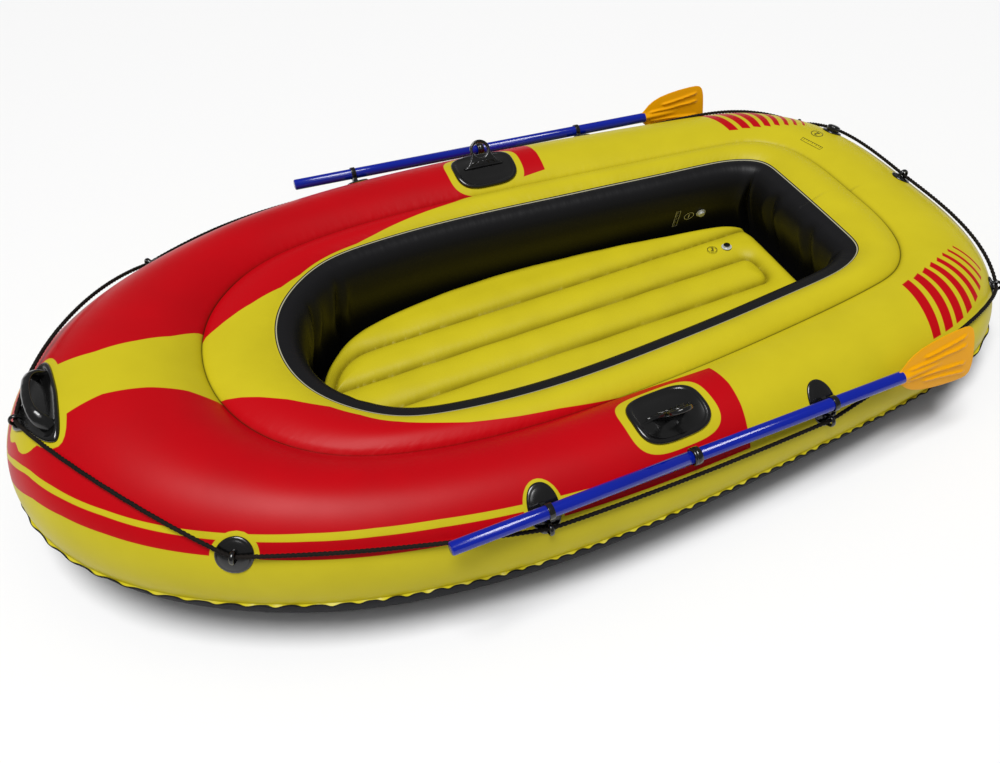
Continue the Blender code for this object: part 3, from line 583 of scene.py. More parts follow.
def lathe_mesh(profile: tuple, steps: int = 48) -> Mesh:
    """Closed body turned round Z.

    Args:
        profile: Radius and height, from one end to the other or round a ring.
        steps: Points round the body.

    Returns:
        The mesh.
    """
    rows = [ring_row(circle(steps), radius, height) for radius, height in profile]
    return capped(grid_mesh(np.array(rows), ring=True))


def filled_mesh(line: bpy.types.Curve) -> Mesh:
    """Mesh that Blender makes of a curve or of text.

    Args:
        line: The curve or text.

    Returns:
        The mesh.
    """
    holder = added("line", line)
    graph = bpy.context.evaluated_depsgraph_get()
    mesh = bpy.data.meshes.new_from_object(holder.evaluated_get(graph))
    bpy.data.objects.remove(holder)
    return mesh


def plate_mesh(loops: list[Points], thickness: float, rounding: float) -> Mesh:
    """Flat plate with rounded edges, its later outlines being holes.

    Args:
        loops: The outlines.
        thickness: Full thickness.
        rounding: Radius of the edges.

    Returns:
        The mesh, lying in XY.
    """
    line = bpy.data.curves.new("plate", "CURVE")
    line.dimensions = "2D"
    line.fill_mode = "BOTH"
    line.extrude = thickness / 2.0 - rounding
    line.bevel_depth = rounding
    line.bevel_resolution = 3
    line.offset = -rounding
    for loop in loops:
        spline = line.splines.new("POLY")
        spline.points.add(len(loop) - 1)
        for target, point in zip(spline.points, loop):
            target.co = (*point, 0.0, 1.0)
        spline.use_cyclic_u = True
    mesh = filled_mesh(line)
    with editing(mesh) as work:
        bmesh.ops.remove_doubles(work, verts=work.verts, dist=PLATE_MERGE)
        bmesh.ops.recalc_face_normals(work, faces=work.faces)
    return edged(mesh)


def label_mesh(text: str, size: float) -> Mesh:
    """Flat mesh of a digit in the middle of a ring.

    Args:
        text: The digit.
        size: Diameter of the ring.

    Returns:
        The mesh, lying in XY and facing +Z.
    """
    line = bpy.data.curves.new("digit", "FONT")
    line.body = text
    line.size = size * 0.8
    line.align_x = "CENTER"
    line.align_y = "CENTER"
    mesh = filled_mesh(line)
    with editing(mesh) as work:
        inner, outer = ([work.verts.new((*point, 0.0)) for point in arc(radius, circle(40))]
                        for radius in (size / 2.0 * 0.9, size / 2.0))
        for i, corner in enumerate(inner):
            work.faces.new((inner[i - 1], outer[i - 1], outer[i], corner))
    return faced(mesh)


def show(name: str, mesh: Mesh, finish: "Finish", *nodes: str, body: str = "hull"
         ) -> bpy.types.Object:
    """Add a piece to the boat.

    Args:
        name: Name of the piece.
        mesh: Its mesh, in the boat's frame.
        finish: Its finish, which knows the record's material slot.
        nodes: Nodes that it stands for.
        body: The body that it rides on.

    Returns:
        The new object.
    """
    mesh.name = name
    mesh.materials.clear()
    mesh.materials.append(finish.material)
    made = added(name, mesh)
    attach(made, body)
    if nodes:
        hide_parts(*nodes)
    LOG.info("%s: %d faces", name, len(mesh.polygons))
    return made


# Materials


class Graph:
    """Short calls for building a shader's nodes."""

    def __init__(self, tree: bpy.types.NodeTree) -> None:
        """Keep the tree."""
        self.tree = tree

    def node(self, kind: str, **settings: object) -> Node:
        """Add a node and set its properties.

        Args:
            kind: Blender's name of the node.
            settings: Properties by name.

        Returns:
            The node.
        """
        made = self.tree.nodes.new(kind)
        for key, setting in settings.items():
            setattr(made, key, setting)
        return made

    def put(self, socket: Socket, source: object) -> None:
        """Link a socket to another, or set its value.

        Args:
            socket: The input.
            source: Socket or value.
        """
        if isinstance(source, Socket):
            self.tree.links.new(source, socket)
        else:
            socket.default_value = source

    def math(self, operation: str, *sources: object, clamp: bool = False) -> Socket:
        """One step of arithmetic.

        Args:
            operation: Blender's name of the step.
            sources: Numbers or sockets.
            clamp: Keep the result from 0 to 1.

        Returns:
            The result's socket.
        """
        made = self.node("ShaderNodeMath", operation=operation, use_clamp=clamp)
        for socket, source in zip(made.inputs, sources):
            self.put(socket, source)
        return made.outputs[0]

    def number(self, name: str) -> Socket:
        """A number kept on the mesh's points."""
        return self.node("ShaderNodeAttribute", attribute_name=name).outputs["Fac"]

    def mix(self, factor: Socket, first: Socket | Colour, second: Socket | Colour) -> Socket:
        """Blend of two colours.

        Args:
            factor: Share of the second.
            first: Socket or plain colour.
            second: The same.

        Returns:
            The blend's socket.
        """
        made = self.node("ShaderNodeMix", data_type="RGBA")
        self.put(made.inputs["Factor"], factor)
        for socket, source in ((made.inputs[6], first), (made.inputs[7], second)):
            self.put(socket, (*source, 1.0) if isinstance(source, tuple) else source)
        return made.outputs[2]

    def noise(self, vector: Socket, scale: Socket | float, detail: float) -> Socket:
        """Noise from 0 to 1 at a point.

        Args:
            vector: The point.
            scale: How fine it is.
            detail: How many finer layers it has.

        Returns:
            The noise's socket.
        """
        made = self.node("ShaderNodeTexNoise")
        for key, source in (("Vector", vector), ("Scale", scale), ("Detail", detail)):
            self.put(made.inputs[key], source)
        return made.outputs["Fac"]

    def group(self, tree: bpy.types.NodeTree, **inputs: object) -> Node:
        """Place a shared group with its own values.

        Args:
            tree: The group.
            inputs: Sockets or values by name.

        Returns:
            The group's node.
        """
        made = self.node("ShaderNodeGroup", node_tree=tree)
        for key, source in inputs.items():
            self.put(made.inputs[key], source)
        return made

    def inside(self, distance: Socket, soft: float = 0.0008) -> Socket:
        """Mask where a distance is positive, with a crisp edge."""
        return self.group(EDGE, Distance=distance, Soft=soft).outputs["Mask"]


class Group(Graph):
    """A shared group of nodes with what it takes and gives."""

    def __init__(self, name: str, inputs: dict[str, float | None], outputs: tuple[str, ...]
                 ) -> None:
        """Start the group.

        Args:
            name: Its name.
            inputs: Names of its inputs with their first values, None for a vector.
            outputs: Names of the numbers that it gives.
        """
        super().__init__(bpy.data.node_groups.new(name, "ShaderNodeTree"))
        for key, first in inputs.items():
            kind = "NodeSocketVector" if first is None else "NodeSocketFloat"
            socket = self.tree.interface.new_socket(key, in_out="INPUT", socket_type=kind)
            if first is not None:
                socket.default_value = first
        for key in outputs:
            self.tree.interface.new_socket(key, in_out="OUTPUT", socket_type="NodeSocketFloat")
        self.taken = self.node("NodeGroupInput").outputs
        self.given = self.node("NodeGroupOutput").inputs


def film_group() -> bpy.types.NodeTree:
    """Fine pebble of calendered vinyl film with soft unevenness under it.

    Returns:
        The group.
    """
    group = Group("Film", {"Point": None, "Pebble": 900.0, "Swell": 9.0}, ("Height", "Wear"))
    pebble = group.noise(group.taken["Point"], group.taken["Pebble"], 2.0)
    swell = group.noise(group.taken["Point"], group.taken["Swell"], 4.0)
    group.put(group.given["Height"], group.math("MULTIPLY_ADD", pebble, 0.12, swell))
    group.put(group.given["Wear"], swell)
    return group.tree


def pucker_group() -> bpy.types.NodeTree:
    """Short folds that run away from a weld and fade out.

    Returns:
        The group.
    """
    group = Group("Puckers", {"Along": 0.0, "Away": 0.0, "Pitch": 0.02, "Reach": 0.05},
                  ("Height",))
    line = group.node("ShaderNodeCombineXYZ")
    gone = group.math("DIVIDE", group.taken["Away"], group.taken["Reach"])
    group.put(line.inputs[0], group.math("DIVIDE", group.taken["Along"], group.taken["Pitch"]))
    group.put(line.inputs[1], gone)
    folds = group.noise(line.outputs[0], 1.0, 1.5)
    fade = group.math("EXPONENT", group.math("MULTIPLY", gone, -2.2))
    group.put(group.given["Height"], group.math("MULTIPLY", folds, fade))
    return group.tree


def edge_group() -> bpy.types.NodeTree:
    """Crisp printed edge where a distance passes zero.

    Returns:
        The group.
    """
    group = Group("Printed edge", {"Distance": 0.0, "Soft": 0.0006}, ("Mask",))
    steep = group.math("DIVIDE", group.taken["Distance"], group.taken["Soft"])
    group.put(group.given["Mask"], group.math("ADD", steep, 0.5, clamp=True))
    return group.tree


FILM = film_group()
PUCKERS = pucker_group()
EDGE = edge_group()


@dataclass(frozen=True)
class Finish:
    """A finish of one colour with film unevenness in its gloss and bump.

    A seam is painted shade in a groove or valley: how fast its dark line fades, how dark it is,
    and its colour. Puckers are rows of the distance that they follow, their pitch and their reach.
    """

    name: str
    slot: str
    colour: Colour
    second: Colour
    roughness: float = 0.35
    spread: float = 0.12
    pebble: float = 900.0
    swell: float = 9.0
    bump: float = 0.0004
    weight: Weight = Weight.PLAIN
    coat: float = 0.0
    coat_roughness: float = 0.10
    gloss: float = 0.5
    alpha: float = 1.0
    seam: tuple = ()
    puckers: tuple = ()
    pucker_depth: float = 5.0

    def printed(self, graph: Graph, base: Socket, tone: Socket) -> Socket:
        """What is printed over the base colour: nothing here."""
        return base

    @cached_property
    def material(self) -> bpy.types.Material:
        """The finished material, built once.

        Returns:
            The material.
        """
        made = bpy.data.materials.new(self.name)
        made.use_nodes = True
        graph = Graph(made.node_tree)
        shader = made.node_tree.nodes["Principled BSDF"].inputs
        for key, fixed in (("Coat Weight", self.coat), ("Coat Roughness", self.coat_roughness),
                           ("Specular IOR Level", self.gloss), ("Alpha", self.alpha)):
            shader[key].default_value = fixed
        point = graph.node("ShaderNodeTexCoord").outputs["Object"]
        film = graph.group(FILM, Point=point, Pebble=self.pebble, Swell=self.swell).outputs
        low = self.roughness - self.spread / 2.0
        rough = graph.math("MULTIPLY_ADD", film["Wear"], self.spread, low)
        graph.put(shader["Roughness"], rough)
        tone = graph.math("MULTIPLY_ADD", film["Wear"], 2.0, -0.5, clamp=True)
        colour = self.printed(graph, graph.mix(tone, self.colour, self.second), tone)
        # Painted shade: the seam's groove or valley is darkened in the colour, fading with the
        # distance from the seam.
        if self.seam:
            fade, dark, shade = self.seam
            line = graph.math("EXPONENT", graph.math("MULTIPLY", graph.number("away"), -fade))
            colour = graph.mix(graph.math("MULTIPLY", line, dark), colour, shade)
        graph.put(shader["Base Color"], colour)
        height = film["Height"]
        for name, pitch, reach in self.puckers:
            folds = graph.group(PUCKERS, Along=graph.number("run_length"),
                                Away=graph.number(name), Pitch=pitch, Reach=reach)
            height = graph.math("MULTIPLY_ADD", folds.outputs["Height"], self.pucker_depth, height)
        step = graph.node("ShaderNodeBump")
        for key, source in (("Strength", self.weight.value), ("Distance", self.bump),
                            ("Height", height)):
            graph.put(step.inputs[key], source)
        graph.put(shader["Normal"], step.outputs["Normal"])
        return made


RED: Colour = (0.47, 0.001, 0.005)
# Painted shade in the groove where the outer and inner tubes meet: how fast it fades, how dark it
# is, and its colour.
GROOVE_SHADE = (480.0, 0.96, (0.012, 0.010, 0.002))


@dataclass(frozen=True)
class HullFinish(Finish):
    """Yellow vinyl of the outer tube with red fields, pinstripe and graduated bars.

    A bar is its centre, half width and upper end.
    """

    # Painted shade along the groove at the seam.
    seam: tuple = GROOVE_SHADE
    puckers: tuple = (("away", 0.016, 0.030), ("above_weld", 0.018, 0.045))
    bar_rows: tuple = (
        (0.803, 0.0050, 1.76), (0.8175, 0.0042, 1.72), (0.829, 0.0036, 1.67),
        (0.8395, 0.0030, 1.61), (0.849, 0.0024, 1.53), (0.858, 0.0019, 1.45),
        (0.866, 0.0014, 1.36), (0.8735, 0.0010, 1.26))
    bar_slant: float = 0.0215
    bar_low: float = 0.77

    def bars(self, graph: Graph) -> Socket:
        """Mask of the bars on the stern quarters.

        Args:
            graph: The material's nodes.

        Returns:
            The mask's socket.
        """
        angle = graph.number("angle")
        over = graph.math("SUBTRACT", angle, self.bar_low)
        straight = graph.math("SUBTRACT", graph.number("place"),
                              graph.math("MULTIPLY", over, self.bar_slant))
        mask: object = 0.0
        for centre, half, high in self.bar_rows:
            off = graph.math("ABSOLUTE", graph.math("SUBTRACT", straight, centre))
            wide = graph.inside(graph.math("SUBTRACT", half, off), 0.0005)
            tall = graph.inside(graph.math("SUBTRACT", high, angle), 0.012)
            mask = graph.math("MAXIMUM", mask, graph.math("MULTIPLY", wide, tall))
        return graph.math("MULTIPLY", mask, graph.inside(over, 0.012))

    def printed(self, graph: Graph, base: Socket, tone: Socket) -> Socket:
        """Red fields, stripe and bars over the yellow.

        Args:
            graph: The material's nodes.
            base: The colour beneath.
            tone: How far the colour leans to its second shade.

        Returns:
            The printed colour.
        """
        mask: object = 0.0
        for name in ("field", "stripe"):
            mask = graph.math("MAXIMUM", mask, graph.inside(graph.number(name)))
        for name in ("clear", "run", "upper"):
            mask = graph.math("MULTIPLY", mask, graph.inside(graph.number(name)))
        mask = graph.math("MAXIMUM", mask, self.bars(graph))
        return graph.mix(mask, base, graph.mix(tone, RED, tuple(c * 0.9 for c in RED)))


@dataclass(frozen=True)
class DeckFinish(Finish):
    """Inner tube: yellow and red top, black cockpit wall behind a thin welded lip.

    A strip is the distance past the cockpit's edge where it starts, and its colour.
    """

    # Painted shade along the groove at the seam.
    seam: tuple = GROOVE_SHADE
    puckers: tuple = (("away", 0.016, 0.030), ("from_edge", 0.020, 0.050))
    strips: tuple = ((-0.0034, (0.009, 0.009, 0.010)), (-0.0010, (0.42, 0.40, 0.26)),
                     (0.0014, (0.009, 0.009, 0.010)))

    def printed(self, graph: Graph, base: Socket, tone: Socket) -> Socket:
        """Red field on top, and the strips down to the wall.

        Args:
            graph: The material's nodes.
            base: The colour beneath.
            tone: Not used by this finish.

        Returns:
            The printed colour.
        """
        colour = graph.mix(graph.inside(graph.number("field")), base, RED)
        for start, shade in self.strips:
            past = graph.math("SUBTRACT", graph.number("wall"), start)
            colour = graph.mix(graph.inside(past, 0.0007), colour, shade)
        return colour


DEEP: Colour = (0.51, 0.43, 0.012)
YELLOW: Colour = (0.56, 0.475, 0.014)
PRINTED = HullFinish("printed_vinyl", "yellow_vinyl", YELLOW, DEEP, roughness=0.38, bump=0.0009,
                     gloss=0.12)
DECK = DeckFinish("deck_vinyl", "black_vinyl", YELLOW, DEEP, roughness=0.38, bump=0.0009,
                  gloss=0.12)
# The mattress's seam row paints shade into the valleys between its channels, darkest at each weld.
FLOOR = Finish("mattress_vinyl", "yellow_vinyl", (0.57, 0.485, 0.013), DEEP, roughness=0.38,
               bump=0.0009, gloss=0.12, seam=(150.0, 0.8, (0.13, 0.095, 0.004)),
               puckers=(("away", 0.013, 0.026),), pucker_depth=3.5)
FLANGE = Finish("yellow_flange", "yellow_vinyl", (0.56, 0.50, 0.02), DEEP, roughness=0.38,
                gloss=0.25)
BLACK = Finish("black_vinyl_skin", "black_vinyl", (0.009, 0.009, 0.011), (0.012, 0.012, 0.014),
               roughness=0.6, bump=0.0008, gloss=0.06)
PLASTIC = Finish("moulded_black", "black_plastic", (0.003, 0.003, 0.003), (0.005, 0.005, 0.005),
                 roughness=0.20, spread=0.08, pebble=1400.0, bump=0.00015, coat=0.25)
BLUE = Finish("blue_shaft", "blue_plastic", (0.001, 0.010, 0.26), (0.001, 0.012, 0.31),
              roughness=0.14, spread=0.04, bump=0.0001, coat=0.3, gloss=0.35)
ORANGE = Finish("blade_plastic", "orange_plastic", (0.84, 0.37, 0.0), (0.78, 0.34, 0.0),
                roughness=0.36, spread=0.08, bump=0.00015, gloss=0.18)
ROPE = Finish("twisted_cord", "black_rope", (0.005, 0.004, 0.0035), (0.013, 0.010, 0.008),
              roughness=0.75, spread=0.1, pebble=2600.0, weight=Weight.STRONG, gloss=0.12)
CLEAR = Finish("valve_plastic", "clear_plastic", (0.50, 0.52, 0.50), (0.62, 0.63, 0.60),
               roughness=0.18, bump=0.0001, alpha=0.85)
INK = Finish("black_ink", "yellow_vinyl", (0.006, 0.006, 0.006), (0.009, 0.009, 0.009),
             roughness=0.4)
WHITE_INK = Finish("white_ink", "black_vinyl", (0.72, 0.72, 0.70), (0.66, 0.66, 0.64),
                   roughness=0.4)


# Chambers and floor


@dataclass
class Chambers:
    """Outer tube, inner tube, bottom skin and weld flange.

    The borders of the print are rows of (place, degrees); the bow band is (x, half width); the
    fields on the inner tube are (place, share of its width). A crease is its place, depth, width
    and the share of the wall's height where it is deepest.
    """

    columns: int = 520
    girth_steps: int = 56
    deck_steps: int = 18
    wall_steps: int = 30
    bottom_columns: int = 360
    flange_columns: int = 1500
    groove_depth: float = 0.0035
    groove_width: float = 0.0045
    lip_height: float = 0.0016
    lip_inset: float = 0.003
    lip_width: float = 0.0016
    bottom_stand: float = 0.0013
    bottom_shares: tuple = (0.85, 0.6, 0.3, 0.02)
    wave_length: float = 0.036
    lower_border: tuple = (
        (0.0, 20.0), (0.008, 25.5), (0.0153, 30.5), (0.028, 36.5), (0.047, 40.5), (0.078, 44.5),
        (0.13, 48.0), (0.183, 51.5), (0.222, 52.5), (0.268, 52.0), (0.328, 49.5), (0.44, 44.0),
        (0.553, 38.0), (0.60, 35.0))
    stripe_top: tuple = (
        (0.0, 16.0), (0.008, 22.0), (0.028, 33.0), (0.055, 38.0), (0.078, 41.0), (0.13, 43.5),
        (0.183, 46.0), (0.222, 46.5), (0.268, 46.0), (0.328, 44.0), (0.44, 39.0), (0.553, 34.0),
        (0.60, 31.0))
    stripe_bottom: tuple = (
        (0.0, 4.0), (0.01, 10.0), (0.037, 24.0), (0.058, 28.5), (0.082, 31.0), (0.137, 33.0),
        (0.183, 33.0), (0.233, 32.5), (0.272, 32.0), (0.35, 31.5), (0.44, 30.0), (0.553, 28.0),
        (0.60, 27.0))
    upper_border: tuple = (
        (0.0, 200.0), (0.435, 200.0), (0.465, 130.5), (0.485, 128.0), (0.507, 125.0),
        (0.535, 120.5), (0.565, 116.5), (0.60, 112.0))
    end_places: tuple = (
        (0.0, 0.551), (27.5, 0.5539), (45.5, 0.5569), (65.5, 0.5617), (88.0, 0.5653),
        (115.0, 0.5659), (140.0, 0.563))
    bow_band: tuple = (
        (-0.99, 0.094), (-0.97, 0.084), (-0.93, 0.070), (-0.86, 0.060), (-0.78, 0.068),
        (-0.72, 0.080), (-0.68, 0.100), (-0.60, 0.13))
    band_centre: float = 0.006
    band_start: float = 58.0
    starboard_field: tuple = (
        (0.0, 0.0), (0.045, 0.0), (0.058, 0.25), (0.07, 0.42), (0.09, 0.64), (0.125, 0.90),
        (0.155, 0.985), (0.20, 0.99), (0.2536, 0.98), (0.285, 0.90), (0.3129, 0.81),
        (0.378, 0.61), (0.41, 0.52), (0.4291, 0.45), (0.45, 0.28), (0.4663, 0.10), (0.472, 0.0),
        (1.0, 0.0))
    port_field: tuple = (
        (0.0, 0.0), (0.045, 0.0), (0.058, 0.25), (0.07, 0.42), (0.09, 0.64), (0.125, 0.87),
        (0.16, 0.88), (0.21, 0.76), (0.30, 0.43), (0.357, 0.30), (0.402, 0.22), (0.458, 0.05),
        (0.475, 0.0), (1.0, 0.0))
    creases: tuple = (
        (0.8715, 0.026, 0.010, 0.62), (-0.8766, 0.022, 0.009, 0.55),
        (0.1824, 0.015, 0.008, 0.60), (0.1122, 0.012, 0.008, 0.55),
        (-0.13, 0.010, 0.010, 0.50), (0.955, 0.010, 0.012, 0.45), (-0.955, 0.010, 0.012, 0.45))
    crease_sway: float = 0.010
    crease_reach: float = 0.42
    crease_start: float = 9.0
    swell_depth: float = 0.35
    swell_place: float = 0.03
    swell_width: float = 0.014

    def where(self, count: int) -> Array:
        """Even positions round the hull, closer together at the stern corners."""
        even = (np.arange(count) + 0.5) * 2.0 / count - 1.0
        return even + 0.03 * np.sin(2.0 * math.pi * even) / (2.0 * math.pi)

    def gaps(self) -> list[tuple[float, ...]]:
        """Gaps in the print round fittings: place, angle, half sizes and squareness.

        Returns:
            A row for each gap.
        """
        handle, angle = BowHandle.pad, BowHandle.angle
        rows = [(0.0, angle, handle.half_along + 0.012, handle.half_down + 0.014, 1.8),
                (*HULL.shifted(0.0, angle, 0.0, 0.058), 0.030, 0.044, 2.0),
                (*HULL.shifted(0.0, angle, -0.042, 0.040), 0.038, 0.042, 2.0)]
        for side in Side:
            for place, angle, pad, gap, power in (
                    (RopeHolders.bow_place, RopeHolders.bow_angle, RopeHolders.bow_pad, 0.009,
                     2.0),
                    (OarHolders.places[0], side.of(OarHolders.angles)[0], OarHolders.pad, 0.007,
                     2.0),
                    (Oarlocks.place, side.of(Oarlocks.angles), Oarlocks.pad, 0.016, 3.4)):
                rows.append((side.value * place, angle, pad.half_along + gap, pad.half_down + gap,
                             power))
        return rows

    def clearance(self, where: Array, angle: Array) -> Array:
        """Distance outside the gaps in the print.

        Args:
            where: Positions round the hull.
            angle: Angles round the tube, of the same shape.

        Returns:
            Distances of that shape, negative in a gap.
        """
        least = np.full(where.shape, 1.0)
        for place, centre, half_along, half_down, power in self.gaps():
            rate_along, rate_round = HULL.rates(place, centre)
            off = (where - place + 1.0) % 2.0 - 1.0
            x = np.abs(off * rate_along.length) / half_along
            y = np.abs((angle - centre) * rate_round.length) / half_down
            grown = (x ** power + y ** power) ** (1.0 / power)
            least = np.minimum(least, (grown - 1.0) * min(half_along, half_down))
        return least

    def skin(self) -> None:
        """Outer tube from the weld to the seam, with its print."""
        where = self.where(self.columns)
        cut = HULL.cut(where)
        top, start = math.pi - cut.lean, HULL.weld_angle
        shares = np.linspace(0.0, 1.0, self.girth_steps)
        angle = start + (top - start)[None] * shares[:, None]
        where = np.broadcast_to(where, angle.shape)
        grid = np.array([HULL.tube(cut, row) for row in angle])
        away = (top[None] - angle) * cut.radius
        grid[..., 2] -= self.groove_depth * bell(away, self.groove_width)
        place, degrees = np.abs(where), np.degrees(angle)
        low, high, base, upper = (table(place, rows) for rows in (
            self.lower_border, self.stripe_top, self.stripe_bottom, self.upper_border))
        scale = math.radians(1.0) * cut.radius
        band = np.abs(grid[..., 1] - self.band_centre) - table(grid[..., 0], self.bow_band)
        band = np.where(degrees > self.band_start, band, 1.0)
        mesh = grid_mesh(grid, ring=True, values={
            "field": np.minimum((degrees - low) * scale, band),
            "stripe": np.minimum(high - degrees, degrees - base) * scale,
            "run": (table(degrees, self.end_places) - place) * HULL.half_round,
            "clear": self.clearance(where, angle), "upper": (upper - degrees) * scale,
            "away": away, "above_weld": (angle - start) * cut.radius, "place": place,
            "angle": angle, "run_length": where * HULL.half_round})
        show("outer_tube_skin", faced(mesh), PRINTED, "outer_chamber")

    def folds(self, where: Array, share: float) -> Array:
        """How far the cockpit wall is drawn in at its folds.

        Args:
            where: Positions round the hull.
            share: Way down the wall.

        Returns:
            Distances, negative inside a fold.
        """
        total = np.zeros(len(where))
        for place, depth, width, peak in self.creases:
            off = ((where - place + 1.0) % 2.0 - 1.0) * HULL.half_round
            off = np.abs(off - self.crease_sway * math.sin(7.0 * share + 9.0 * place))
            swell = self.swell_depth * bell(off - self.swell_place, self.swell_width)
            held = math.exp(-((share - peak) / self.crease_reach) ** 4)
            total -= (depth * (np.exp(-off / width) - swell) * held
                      * min(1.0, share * self.crease_start))
        return total

    def inner(self) -> None:
        """Inner tube: top from the seam to the edge, then the wall down to the floor."""
        where = self.where(self.columns)
        cut = HULL.cut(where)
        wide = np.linalg.norm(cut.edge - cut.seam, axis=1)
        border = np.where(where > 0.0, table(where, self.starboard_field),
                          table(-where, self.port_field))
        rows = []
        for share in np.linspace(0.0, 1.0, self.deck_steps):
            points = HULL.deck(cut, float(share))
            points[:, 2] -= self.groove_depth * bell(wide * share, self.groove_width)
            inside = wide * (1.0 - share) - self.lip_inset
            points[:, 2] += self.lip_height * bell(inside, self.lip_width)
            rows.append(points)
        shares = (1.0 - np.cos(np.linspace(0.0, math.pi, self.wall_steps))) / 2.0
        rows += [HULL.wall(cut, float(share), self.folds(where, float(share)))
                 for share in shares[1:]]
        grid = np.array(rows)
        steps = np.linalg.norm(np.diff(grid, axis=0), axis=2)
        away = np.concatenate([np.zeros((1, len(where))), np.cumsum(steps, axis=0)])
        past = away - away[self.deck_steps - 1]
        mesh = grid_mesh(grid, ring=True, values={
            "field": border[None] * wide[None] - away, "away": away, "wall": past,
            "from_edge": np.abs(past),
            "run_length": np.broadcast_to(where * HULL.half_round, away.shape)})
        show("inner_tube_skin", faced(mesh), DECK, "inner_chamber")

    def bottom(self) -> None:
        """Black skin from the weld down and across underneath."""
        where = self.where(self.bottom_columns)
        cut = HULL.cut(where)
        rows = [HULL.tube(cut, angle, self.bottom_stand + np.zeros(len(where)))
                for angle in np.linspace(HULL.weld_angle, -math.pi / 2.0, 20)]
        ring = rows[-1]
        centre = ring.mean(axis=0)
        rows += [centre + (ring - centre) * share for share in self.bottom_shares]
        show("bottom_skin", faced(grid_mesh(np.array(rows), ring=True), -UP), BLACK,
             "bottom_sheet")

    def flange(self) -> None:
        """Scalloped weld flange: a yellow layer over a black one."""
        where = self.where(self.flange_columns)
        cut = HULL.cut(where)
        girth = 1.0 + HULL.widths[0] * 2.2
        phase = where * HULL.half_round * girth * 2.0 * math.pi / self.wave_length
        wave = 0.5 + 0.5 * np.cos(phase)
        lift = 0.0012 * np.sin(phase * 0.5 + 0.7) + 0.0008 * np.sin(phase * 0.31)
        for name, low, high, reach, finish, nodes in (
                ("weld_flange_yellow", 0.0003, 0.0011, 0.0012 + 0.0042 * wave ** 2, FLANGE,
                 ("perimeter_flange",)),
                ("weld_flange_black", -0.0009, 0.0002, 0.0038 + 0.0032 * wave, BLACK, ())):
            rows = []
            for side, share in ((low, 0.0), (low, 0.6), (low, 1.0), (high, 1.0), (high, 0.6),
                                (high, 0.0)):
                angle = HULL.weld_angle + (side + lift * share) / cut.radius
                rows.append(HULL.tube(cut, angle, reach * share + 0.0002))
            show(name, capped(grid_mesh(np.array(rows), ring=True, loop=True)), finish, *nodes)

    def build(self) -> None:
        """Make all four."""
        self.skin()
        self.inner()
        self.bottom()
        self.flange()


